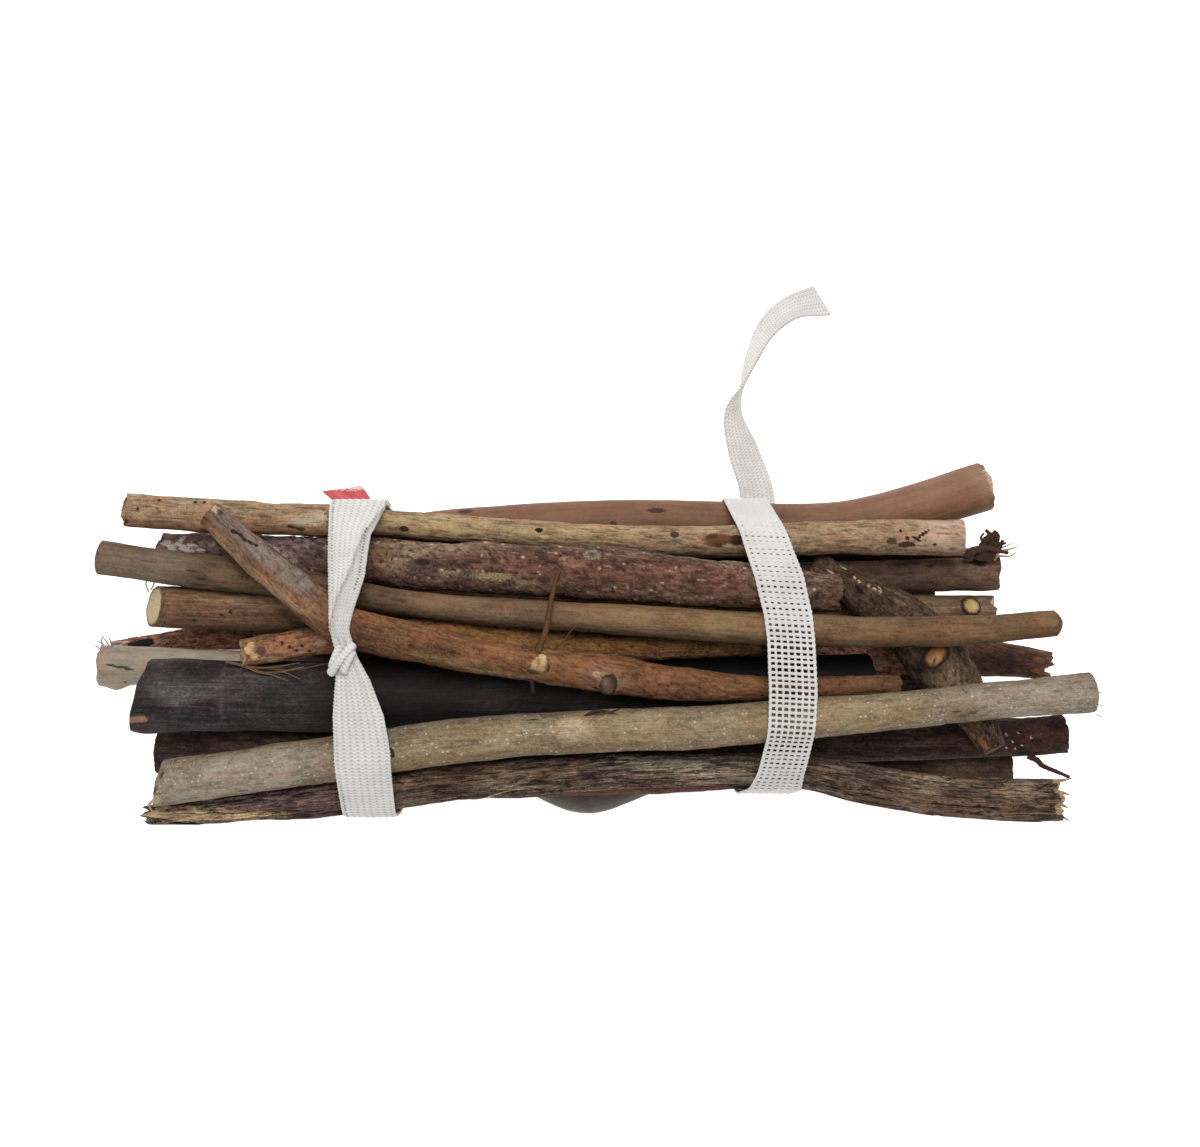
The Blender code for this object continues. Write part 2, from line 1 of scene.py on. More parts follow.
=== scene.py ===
"""The looks of a bundle of dry sticks and bark in two white elastic bands.

Everything is in millimetres until a mesh is made. +X runs along the bundle, +Y to its back and
+Z up. Round a stick and round the bundle, degrees go from the back (0) over the top (90) to the
front (180). Places named by a pixel are pixels of the whole 1200 x 1147 picture.
"""

import math
from collections import namedtuple
from itertools import product

import bpy
import numpy as np
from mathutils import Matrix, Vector
from mathutils.bvhtree import BVHTree


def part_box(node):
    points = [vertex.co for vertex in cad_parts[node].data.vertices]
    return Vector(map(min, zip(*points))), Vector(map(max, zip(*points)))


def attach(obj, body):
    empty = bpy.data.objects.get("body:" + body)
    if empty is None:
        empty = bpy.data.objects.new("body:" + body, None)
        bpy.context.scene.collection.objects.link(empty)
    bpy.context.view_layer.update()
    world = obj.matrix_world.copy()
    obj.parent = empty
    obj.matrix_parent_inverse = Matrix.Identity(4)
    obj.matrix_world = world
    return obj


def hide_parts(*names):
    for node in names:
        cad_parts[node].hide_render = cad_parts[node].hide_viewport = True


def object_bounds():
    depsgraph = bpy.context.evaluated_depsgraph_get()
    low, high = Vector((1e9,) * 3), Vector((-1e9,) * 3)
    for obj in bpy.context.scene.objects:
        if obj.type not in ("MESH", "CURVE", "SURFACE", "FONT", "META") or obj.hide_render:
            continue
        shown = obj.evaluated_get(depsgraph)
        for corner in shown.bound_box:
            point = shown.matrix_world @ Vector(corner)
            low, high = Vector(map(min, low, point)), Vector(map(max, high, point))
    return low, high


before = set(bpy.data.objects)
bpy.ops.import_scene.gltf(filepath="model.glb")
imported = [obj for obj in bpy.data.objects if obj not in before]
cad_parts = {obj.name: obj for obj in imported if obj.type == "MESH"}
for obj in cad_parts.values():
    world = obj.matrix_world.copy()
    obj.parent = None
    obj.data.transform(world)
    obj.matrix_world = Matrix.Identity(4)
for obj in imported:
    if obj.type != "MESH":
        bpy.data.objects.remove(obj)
CAD_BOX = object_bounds()

MM = 0.001

# Camera
PICTURE = (1200, 1147)
CAMERA_AT = np.array((5.70, -114.52, 490.54))
ELEVATION = math.radians(78)
FOCAL = 460 / 0.33  # in pixels of the picture
RIGHTWARD = np.array((1.0, 0, 0))
AHEAD = np.array((0, math.cos(ELEVATION), -math.sin(ELEVATION)))
UPWARD = np.array((0, math.sin(ELEVATION), math.cos(ELEVATION)))

# Fineness of the meshes
STEP = 1.0  # along a stick
SIDES = 56  # round a stick
HIDDEN_STEP, HIDDEN_SIDES = 2.5, 28
CAP_RINGS = 5

Spine = namedtuple("Spine", "at radius ahead back up along")


# Vectors

def unit(vectors):
    """Rows of vectors, each made one long."""
    return vectors / np.linalg.norm(vectors, axis=-1, keepdims=True)


def lengths(path):
    """How far along a path each of its points is."""
    return np.append(0, np.cumsum(np.linalg.norm(np.diff(path, axis=0), axis=1)))


def spokes(turn, back, up):
    """At each place of a line, the directions out of it at angles from its back over its top."""
    turn = turn[None, :, None]
    return np.cos(turn) * back[:, None] + np.sin(turn) * up[:, None]


# Seeded noise

CHANCE = np.random.default_rng(11)
SHUFFLE = CHANCE.permutation(256)
ARROWS = unit(CHANCE.normal(size=(256, 3)))


def noise(points, seed):
    """Smooth noise from about -1 to 1 at rows of x, y, z.

    Every whole-number place has a random slope, and between the eight around a point the
    heights on those slopes are blended with an S-curve.
    """
    cell = np.floor(points).astype(int)
    part = points - cell
    ease = part**3 * (part * (6 * part - 15) + 10)
    total = np.zeros(points.shape[:-1])
    for corner in product((0, 1), repeat=3):
        place = cell + corner
        pick = SHUFFLE[(place[..., 0] + seed) & 255]
        pick = SHUFFLE[(pick + place[..., 1]) & 255]
        pick = SHUFFLE[(pick + place[..., 2]) & 255]
        height = (ARROWS[pick] * (part - corner)).sum(axis=-1)
        total += height * np.where(corner, ease, 1 - ease).prod(axis=-1)
    return 1.6 * total


def layers(points, seed, count, fall=0.5):
    """Noise with finer and weaker noise on top: each layer twice as fine and fall as strong."""
    total, strength = np.zeros(points.shape[:-1]), 1.0
    for layer in range(count):
        total += strength * noise(points * 2.0**layer, seed + 17 * layer)
        strength *= fall
    return total


def ridges(points, seed, count):
    """Sharp ridges from 0 to 1: one minus the size of noise, in layers."""
    return 1 - np.clip(np.abs(layers(points, seed, count)) * 1.6, 0, 1)


def rise(value, low, high):
    """0 below low, 1 above high, with an S-curve between them."""
    t = np.clip((value - low) / (high - low), 0, 1)
    return t * t * (3 - 2 * t)


def softened(values, width):
    """Values averaged along their rows with a bell of that width, in rows; the ends are kept."""
    reach = int(3 * width) + 1
    bell = np.exp(-0.5 * (np.arange(-reach, reach + 1) / width) ** 2)
    bell /= bell.sum()
    first, last = values[:1], values[-1:]
    before = 2 * first - values[reach:0:-1]
    after = 2 * last - values[-2:-reach - 2:-1]
    padded = np.concatenate([before, values, after])
    if values.ndim == 1:
        return np.convolve(padded, bell, "valid")
    return np.column_stack([np.convolve(column, bell, "valid") for column in padded.T])


# The sticks as the frame has them

def mesh_of(name):
    """The points, in millimetres, and the edges of a node of the frame."""
    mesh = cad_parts[name].data
    points = np.empty(3 * len(mesh.vertices), np.float32)
    mesh.vertices.foreach_get("co", points)
    edges = np.empty(2 * len(mesh.edges), np.int32)
    mesh.edges.foreach_get("vertices", edges)
    return points.reshape(-1, 3).astype(float) / MM, edges.reshape(-1, 2)


def cut(points, edges, at, ahead):
    """Where the plane through a point and square to a direction cuts the edges of a mesh."""
    side = (points - at) @ ahead
    start, end = side[edges[:, 0]], side[edges[:, 1]]
    crossed = (start > 0) != (end > 0)
    share = (start[crossed] / (start[crossed] - end[crossed]))[:, None]
    first, last = points[edges[crossed, 0]], points[edges[crossed, 1]]
    return first + share * (last - first)


def circle(flat, hollow):
    """The middle and the radius of the circle that fits rows of two coordinates best."""
    keep = np.ones(len(flat), bool)
    for turn in range(3):
        kept = flat[keep]
        rows = np.column_stack([2 * kept, np.ones(len(kept))])
        found = np.linalg.lstsq(rows, (kept**2).sum(axis=1), rcond=None)[0]
        middle = found[:2]
        away = np.linalg.norm(flat - middle, axis=1)
        typical = np.median(away[keep])
        keep = away > typical if hollow and turn == 0 else np.abs(away - typical) < 0.9
    return middle, np.percentile(away[keep], 85)


def frames(places):
    """Unit vectors at each place along a line: forwards, to the back, and up."""
    ahead = unit(np.gradient(places, axis=0))
    back = unit(np.cross((0, 0, 1), ahead))
    return ahead, back, np.cross(ahead, back)


CUT_EVERY = 3.0
CUT_MARGIN = 4.0  # from an end of the stick to its first cut
FARTHEST = 30  # points of a cut farther from the line are of another part of the stick
SOFTENED_OVER = 5.0


def middles(name, hollow):
    """The middles and the radii of a stick, where planes along it cut its node."""
    points, edges = mesh_of(name)
    middle = points.mean(axis=0)
    ahead = np.linalg.svd(points - middle, full_matrices=False)[2][0]
    ahead *= np.sign(ahead[0])
    reach = (points - middle) @ ahead
    places, radii = [], []
    for along in np.arange(reach.min() + CUT_MARGIN, reach.max() - CUT_MARGIN, CUT_EVERY):
        at, facing = middle + along * ahead, ahead
        for turn in range(3):
            found = cut(points, edges, at, facing)
            found = found[np.linalg.norm(found - at, axis=1) < FARTHEST if turn else slice(None)]
            side = unit(np.cross((0, 0, 1), facing))
            over = np.cross(facing, side)
            flat = np.column_stack([(found - at) @ side, (found - at) @ over])
            (a, b), radius = circle(flat, hollow)
            at = at + a * side + b * over
            if len(places) > 1:
                facing = unit(at - places[-2])
        places.append(at)
        radii.append(radius)
    return np.array(places), np.array(radii)


def spine(name, step, hollow=False):
    """The smooth line and the radius of a stick, carried on to its ends."""
    places, radii = middles(name, hollow)
    steady = [np.median(radii[max(0, i - 3):i + 4]) for i in range(len(radii))]
    places = softened(places, SOFTENED_OVER / CUT_EVERY)
    radii = softened(np.array(steady), SOFTENED_OVER / CUT_EVERY)
    start = places[0] - (places[1] - places[0]) / CUT_EVERY * CUT_MARGIN
    end = places[-1] + (places[-1] - places[-2]) / CUT_EVERY * CUT_MARGIN
    places = np.concatenate([[start], places, [end]])
    tips = radii[[0, -1]] + np.minimum(radii[[0, -1]] - radii[[2, -3]], 0) * 0.7
    radii = np.concatenate([tips[:1], radii, tips[1:]])
    length = lengths(places)
    along = np.linspace(0, length[-1], max(8, int(length[-1] / step)) + 1)
    places = np.column_stack([np.interp(along, length, places[:, k]) for k in range(3)])
    places = softened(places, 2.5 / step)
    return Spine(places, np.interp(along, length, radii), *frames(places), along)


def sight(u, v):
    """The direction of the line of sight through a pixel."""
    look = AHEAD * FOCAL + RIGHTWARD * (u - PICTURE[0] / 2)
    look = look + UPWARD * (PICTURE[1] / 2 - v)
    return look / np.linalg.norm(look)


def at_height(u, v, height):
    """Where the line of sight through a pixel is at a height over the floor."""
    look = sight(u, v)
    return CAMERA_AT + look * (height - CAMERA_AT[2]) / look[2]


def seen(line, u, v):
    """Where the line of sight through a pixel meets a stick, as its length and its degrees."""
    look = sight(u, v)
    nearest = CAMERA_AT + ((line.at - CAMERA_AT) @ look)[:, None] * look
    apart = nearest - line.at
    place = np.argmin(np.abs((apart * line.ahead).sum(axis=1)) + 0.05 * np.linalg.norm(apart, axis=1))
    aside = apart[place]
    depth = math.sqrt(max(line.radius[place] ** 2 - aside @ aside, 0))
    out = aside - depth * look
    degrees = math.degrees(math.atan2(out @ line.up[place], out @ line.back[place]))
    return line.along[place], degrees


# Meshes

SHARP_FROM = math.radians(70)  # edges bent more than this aren't smoothed
VALUE, VECTOR, COLOUR = ("FLOAT", "value"), ("FLOAT_VECTOR", "vector"), ("FLOAT_COLOR", "color")
KEPT = {"grain": VECTOR, "tint": COLOUR, "wash": COLOUR, "hollow": VALUE,
        "weave": VECTOR, "hole": VALUE, "grey_and_shade": VALUE}


def new_object(name, points, faces, attributes=(), boxed=True):
    """A mesh object from points in millimetres and faces, with values kept at its points.

    Points of a boxed one that would stand out of the box of the frame are moved onto its sides.
    """
    mesh = bpy.data.meshes.new(name)
    points = np.asarray(points, float)
    if boxed:
        low, high = np.array(CAD_BOX) / MM
        points = np.clip(points, low + 0.01, high - 0.01)
    mesh.from_pydata((points * MM).tolist(), [], [tuple(f) for f in faces])
    for title, values in attributes:
        kind, key = KEPT[title]
        kept = mesh.attributes.new(title, kind, "POINT")
        kept.data.foreach_set(key, np.ascontiguousarray(values, np.float32).ravel())
    mesh.shade_smooth()
    mesh.set_sharp_from_angle(angle=SHARP_FROM)
    made = bpy.data.objects.new(name, mesh)
    bpy.context.scene.collection.objects.link(made)
    return made


def grid_faces(rows, columns):
    """The quads of a grid of points that is joined round its columns."""
    row = np.arange(rows - 1)[:, None] * columns
    column = np.arange(columns)[None, :]
    after = (column + 1) % columns
    quads = [row + column, row + after, row + columns + after, row + columns + column]
    return np.stack(quads, axis=-1).reshape(-1, 4).tolist()


def hand_in(made, slot, material, *nodes):
    """Makes a piece ride on the bundle, stand for its nodes and wear a material."""
    made.data.materials.append(material)
    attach(made, "root")
    if nodes:
        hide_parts(*nodes)
    return made


# Materials

def linear(colour):
    """A colour of 0 to 255 as the picture shows it, as the light that it reflects."""
    part = np.array(colour, float) / 255
    light = np.where(part <= 0.04045, part / 12.92, ((part + 0.055) / 1.055) ** 2.4)
    return tuple(light) + (1.0,)


class Nodes:
    """Short names for the nodes of one material."""

    def __init__(self, name):
        self.material = bpy.data.materials.new(name)
        self.material.use_nodes = True
        self.tree = self.material.node_tree
        self.shader = self.tree.nodes["Principled BSDF"]

    def put(self, socket, value):
        """Joins a socket to another node's output, or sets it to a plain value."""
        if isinstance(value, bpy.types.NodeSocket):
            self.tree.links.new(value, socket)
        else:
            socket.default_value = value

    def fill(self, node, values):
        """Joins or sets a node's inputs by their names."""
        for name, value in values.items():
            self.put(node.inputs[name], value)

    def make(self, kind, values):
        """A node with its inputs filled in by their names."""
        node = self.tree.nodes.new("ShaderNode" + kind)
        self.fill(node, values)
        return node

    def add(self, kind, *inputs, out=0, **settings):
        """A node with its settings, its first inputs filled in, and one output to read."""
        node = self.tree.nodes.new("ShaderNode" + kind)
        for name, value in settings.items():
            setattr(node, name, value)
        for socket, value in zip(node.inputs, inputs):
            self.put(socket, value)
        return node.outputs[out]

    def sum(self, kind, *values):
        """One step of arithmetic."""
        return self.add("Math", *values, operation=kind)

    def times(self, value, strength):
        """A value times a strength."""
        return self.sum("MULTIPLY", value, strength)

    def more(self, value, other, strength):
        """A value and a share of another one."""
        return self.sum("ADD", value, self.times(other, strength))

    def less(self, value, other, strength):
        """A value less a share of another one."""
        return self.sum("SUBTRACT", value, self.times(other, strength))

    def centred(self, value):
        """A value from 0 to 1 as its distance from the middle."""
        return self.sum("SUBTRACT", value, 0.5)

    def clouds(self, where, scale=1.0, detail=4.0, rough=0.55, twist=0.0):
        """Noise from 0 to 1 at a place."""
        return self.make("TexNoise", {"Vector": where, "Scale": scale, "Detail": detail,
                                      "Roughness": rough, "Distortion": twist}).outputs["Fac"]

    def cells(self, where, scale, out="Distance"):
        """The distance to the nearest of scattered points, or another measure of them."""
        return self.make("TexVoronoi", {"Vector": where, "Scale": scale}).outputs[out]

    def stretched(self, where, along, across):
        """A place with its lengths divided by one size along the stick and one across it."""
        size = (1 / along, 1 / across, 1 / across)
        return self.add("VectorMath", where, size, operation="MULTIPLY")

    def step(self, value, low, high):
        """0 below low and 1 above high, with an S-curve between."""
        node = self.make("MapRange", {"Value": value, "From Min": low, "From Max": high})
        node.interpolation_type = "SMOOTHSTEP"
        return node.outputs["Result"]

    def ramp(self, value, stops):
        """A colour read from stops of (place, colour)."""
        node = self.tree.nodes.new("ShaderNodeValToRGB")
        ramp = node.color_ramp
        while len(ramp.elements) < len(stops):
            ramp.elements.new(0.5)
        for element, (place, colour) in zip(ramp.elements, stops):
            element.position = place
            element.color = linear(colour)
        self.put(node.inputs["Fac"], value)
        return node.outputs["Color"]

    def blend(self, share, first, second, kind="MIX"):
        """A mix of two colours."""
        node = self.tree.nodes.new("ShaderNodeMix")
        node.data_type = "RGBA"
        node.blend_type = kind
        sockets = [s for s in node.inputs if s.enabled]
        for socket, value in zip(sockets, (share, first, second)):
            self.put(socket, value)
        return [s for s in node.outputs if s.enabled][0]

    def kept(self, name, out="Fac"):
        """A value kept at the points of the mesh."""
        node = self.tree.nodes.new("ShaderNodeAttribute")
        node.attribute_name = name
        return node.outputs[out]

    def wear(self, values, height, strength, reach):
        """Fills in the shader, and bumps of a strength from a height, reach in millimetres."""
        self.fill(self.shader, values)
        bump = self.make("Bump", {"Strength": strength, "Distance": reach * MM, "Height": height})
        self.put(self.shader.inputs["Normal"], bump.outputs["Normal"])
        return self.material


Bark = namedtuple(
    "Bark", "tones streak mottle fibres specks dots cracks rings rough bump shine", defaults=[
        (26, 1.3), 11.0, 0.25, 0.2, None, 0.0, 0.0, 0.85, 0.5, 0.0])
TONE_PLACES = (0.33, 0.44, 0.5, 0.57, 0.7)


def lined(n, look, grain, tone, height):
    """Long dark cracks over a bark's tone and height."""
    line = n.clouds(n.stretched(grain, 26.0, 2.2), detail=4.0, rough=0.55, twist=2.2)
    away = n.sum("ABSOLUTE", n.centred(line))
    crack = n.times(n.sum("SUBTRACT", 1.0, n.step(away, 0.0, 0.035)), look.cracks)
    tone = n.blend(crack, tone, linear(np.array(look.tones[0]) * 0.5))
    return tone, n.less(height, crack, 0.8)


def ringed(n, look, grain, tone, height):
    """Dark rings round the stick over a bark's tone and height."""
    band = n.clouds(n.stretched(grain, 0.7, 5.0), detail=3.0)
    band = n.times(n.step(band, 0.5, 0.7), look.rings)
    return n.blend(band, tone, linear(look.tones[0])), n.less(height, band, 0.5)


def dotted(n, look, grain, fine, tone, height):
    """Scattered dots of another colour over a bark's tone and height."""
    colour, scale, share = look.dots
    away = n.cells(grain, 1 / scale)
    few = n.step(n.cells(grain, 1 / scale, out="Color"), 1 - share, 1.02 - share)
    ragged = n.more(away, n.centred(fine), 0.5)
    inside = n.sum("SUBTRACT", 1.0, n.step(ragged, 0.12, 0.34))
    dot = n.times(inside, few)
    return n.blend(n.times(dot, 0.8), tone, linear(colour)), n.more(height, dot, 0.25)


def washed(n, look, tone):
    """A bark's tone where a wash is kept on the mesh, its pattern still in it."""
    wash_colour = n.kept("wash", "Color")
    shifted = n.add("VectorMath", wash_colour, tone, operation="MULTIPLY")
    shifted = n.add("VectorMath", shifted, linear(look.tones[2])[:3], operation="DIVIDE")
    shifted = n.blend(0.35, shifted, wash_colour)
    return n.blend(n.kept("wash", "Alpha"), tone, shifted)


def covered(n, fine, fibre, tone):
    """A bark's tone under the paint that is kept on the mesh, whose edge is ragged."""
    ragged = n.more(n.kept("tint", "Alpha"), n.centred(fine), 1.1)
    ragged = n.more(ragged, n.centred(fibre), 0.6)
    vary = n.ramp(fine, [(0.3, (196, 194, 190)), (0.68, (255, 255, 255))])
    worn = n.ramp(fibre, [(0.36, (208, 202, 196)), (0.6, (255, 255, 255))])
    colour = n.blend(1.0, n.kept("tint", "Color"), vary, "MULTIPLY")
    colour = n.blend(1.0, colour, worn, "MULTIPLY")
    return n.blend(n.step(ragged, 0.36, 0.6), tone, colour)


def bark(name, look):
    """Dry bark: clouds and streaks of its own tones, fine fibres, specks and cracks.

    All its patterns follow the length and the surface of the stick. A wash changes the colour
    softly and keeps the pattern; paint covers the bark with a ragged edge. Hollows are darkened
    as painted shade.
    """
    n = Nodes(name)
    grain = n.kept("grain", "Vector")
    long, wide = look.streak
    streaks = n.clouds(n.stretched(grain, long * 0.7, wide * 0.6), detail=9.0, rough=0.72, twist=0.8)
    clouds = n.clouds(n.stretched(grain, look.mottle * 1.5, look.mottle), detail=9.0, rough=0.68)
    fibre = n.clouds(n.stretched(grain, 7.0, 0.35), detail=5.0, rough=0.7, twist=0.5)
    fine = n.clouds(grain, 1.9, detail=5.0, rough=0.75)
    grit = n.clouds(grain, 0.8, detail=9.0, rough=0.8, twist=0.4)
    loose = n.times(n.centred(fibre), look.fibres)
    loose = n.more(loose, n.centred(fine), 0.8 * look.specks)
    loose = n.more(loose, n.centred(grit), 0.36 + 0.6 * look.specks)
    mixed = n.sum("ADD", n.times(streaks, 0.5), n.times(clouds, 0.5))
    tone = n.ramp(n.sum("ADD", mixed, loose), list(zip(TONE_PLACES, look.tones)))
    drift = n.clouds(n.stretched(grain, 11.0, 5.0), detail=4.0, rough=0.6)
    hue = n.ramp(drift, [(0.34, (252, 234, 224)), (0.5, (244, 241, 238)), (0.66, (233, 238, 234))])
    tone = washed(n, look, n.blend(1.0, tone, hue, "MULTIPLY"))
    height = n.sum("ADD", n.times(fibre, 0.45), n.times(fine, 0.35))
    height = n.more(height, streaks, 0.5)
    if look.cracks:
        tone, height = lined(n, look, grain, tone, height)
    if look.rings:
        tone, height = ringed(n, look, grain, tone, height)
    if look.dots:
        tone, height = dotted(n, look, grain, fine, tone, height)
    # Painted shade: the hollows of the furrows are darkened towards a deep tone of the bark.
    furrow_shade = linear(np.array(look.tones[0]) * 0.35)
    tone = n.blend(n.times(n.kept("hollow"), 0.75), tone, furrow_shade)
    tone = covered(n, fine, fibre, tone)
    return n.wear({"Base Color": tone, "Roughness": look.rough,
                   "Specular IOR Level": 0.25 + look.shine}, height, look.bump, 0.5)


# What each stick is like

End = namedtuple("End", "lean torn dome wood teeth skew", defaults=[
    0.1, 0.5, 0.3, (176, 150, 120), 1.0, 0.0])
Spot = namedtuple("Spot", "kind u v length width colour strength height slant")
Shape = namedtuple("Shape", "furrow lumps cross ends spots curl wall", defaults=[
    (0.25, 16.0, 1.6), (0.5, 26.0), 0.0, (End(), End()), (), None, 2.0])


def paint(u, v, length, width, colour, strength=1.0, height=0.0, slant=0):
    """A mark with a ragged edge, which covers the bark."""
    return Spot("paint", u, v, length, width, colour, strength, height, slant)


def wash(u, v, length, width, colour, strength):
    """A soft change of colour, through which the pattern of the bark shows."""
    return Spot("wash", u, v, length, width, colour, strength, 0.0, 0)


def lump(u, v, length, width, height):
    """A soft swelling of the bark."""
    return Spot("lump", u, v, length, width, None, 0.0, height, 0)


def knot(u, v, length, width, height, colour, strength=1.0):
    """A raised ring of dark bark round a face of cut wood."""
    return Spot("knot", u, v, length, width, colour, strength, height, 0)


def row(make, places, *rest):
    """The same mark at several places."""
    return [make(u, v, *rest) for u, v in places]


DARK, BLACK = (62, 44, 34), (26, 20, 18)
CREAM, PALE, STRAW = (222, 194, 152), (204, 184, 158), (196, 164, 118)
WHITE = (226, 214, 200)

LOOKS = {
    "tan_bark": Bark(((106, 82, 61), (146, 117, 90), (163, 135, 106), (177, 151, 120), (204, 184, 157)),
                     streak=(11, 1.3), mottle=6.0, fibres=0.4, specks=0.4, bump=0.6),
    "smooth_red_bark": Bark(((95, 65, 48), (116, 79, 57), (125, 87, 63), (133, 95, 70), (143, 107, 81)),
                            streak=(40, 3.0), mottle=16, fibres=0.15, specks=0.12, bump=0.25, rough=0.65,
                            shine=0.1),
    "rough_red_bark": Bark(((51, 36, 29), (84, 60, 50), (103, 76, 64), (124, 98, 84), (170, 148, 128)),
                           streak=(8, 2.6), mottle=7.0, fibres=0.25, specks=0.45, bump=1.0, rough=0.92,
                           dots=((186, 170, 150), 2.6, 0.3)),
    "orange_bark": Bark(((64, 42, 26), (97, 66, 42), (115, 78, 52), (127, 90, 63), (146, 115, 87)),
                        streak=(14, 1.8), mottle=8.0, fibres=0.2, specks=0.5, rings=0.25, bump=0.6),
    "knotted_bark": Bark(((42, 31, 23), (67, 52, 38), (84, 66, 50), (98, 80, 62), (136, 116, 93)),
                         streak=(9, 1.8), mottle=6.0, specks=0.6, bump=0.9, rough=0.92, fibres=0.3),
    "olive_bark": Bark(((50, 35, 25), (84, 65, 48), (100, 79, 59), (111, 90, 68), (126, 106, 84)),
                       streak=(34, 1.8), mottle=9.0, fibres=0.25, specks=0.3, bump=0.4),
    "pale_bark": Bark(((83, 71, 54), (114, 98, 77), (128, 115, 95), (142, 129, 111), (161, 149, 131)),
                      streak=(14, 1.4), mottle=9.0, fibres=0.35, specks=0.6,
                      dots=((200, 190, 170), 1.5, 0.3), bump=0.6),
    "spotted_bark": Bark(((57, 36, 23), (107, 71, 43), (141, 98, 63), (158, 117, 82), (187, 151, 119)),
                         streak=(14, 1.6), mottle=5.0, specks=0.5, fibres=0.3,
                         dots=((64, 38, 28), 2.0, 0.35)),
    "brown_bark": Bark(((70, 50, 37), (99, 74, 55), (118, 89, 68), (133, 105, 81), (158, 131, 105)),
                       streak=(30, 1.3), mottle=9.0, fibres=0.4, specks=0.35),
    "red_flaky_bark": Bark(((65, 43, 35), (119, 81, 65), (164, 119, 94), (190, 142, 115), (221, 175, 148)),
                           streak=(10, 1.4), mottle=6, fibres=0.3, specks=0.5, bump=0.9,
                           dots=((56, 34, 28), 1.2, 0.35)),
    "grey_smooth_bark": Bark(((110, 98, 84), (142, 128, 112), (158, 144, 128), (168, 154, 138),
                              (180, 166, 150)),
                             streak=(40, 2.6), mottle=12, fibres=0.2, specks=0.2, bump=0.25, rough=0.7,
                             shine=0.1),
    "dark_bark": Bark(((18, 15, 16), (36, 30, 31), (54, 46, 47), (74, 64, 64), (108, 96, 94)),
                      streak=(40, 1.6), mottle=12.0, fibres=0.25, specks=0.3, bump=0.4, rough=0.7,
                      shine=-0.05),
    "dark_red_bark": Bark(((16, 11, 10), (41, 29, 25), (64, 46, 39), (80, 62, 53), (115, 93, 80)),
                          streak=(24, 1.6), mottle=8, fibres=0.3, specks=0.35, cracks=0.3, bump=0.6),
    "fibrous_bark": Bark(((51, 37, 29), (85, 68, 56), (106, 87, 75), (132, 114, 98), (181, 163, 142)),
                         streak=(34, 1.5), mottle=9.0, fibres=0.5, specks=0.4, cracks=0.8, bump=1.0,
                         rough=0.92),
    "umber_bark": Bark(((25, 16, 13), (46, 30, 24), (62, 43, 34), (76, 56, 46), (104, 85, 70)),
                       streak=(16, 1.5), fibres=0.3, specks=0.5, bump=0.7),
    "brown_curl_bark": Bark(((59, 45, 36), (94, 73, 59), (113, 89, 74), (128, 102, 86), (138, 114, 96)),
                            streak=(22, 1.4), mottle=8.0, fibres=0.3, specks=0.4, bump=0.6),
}

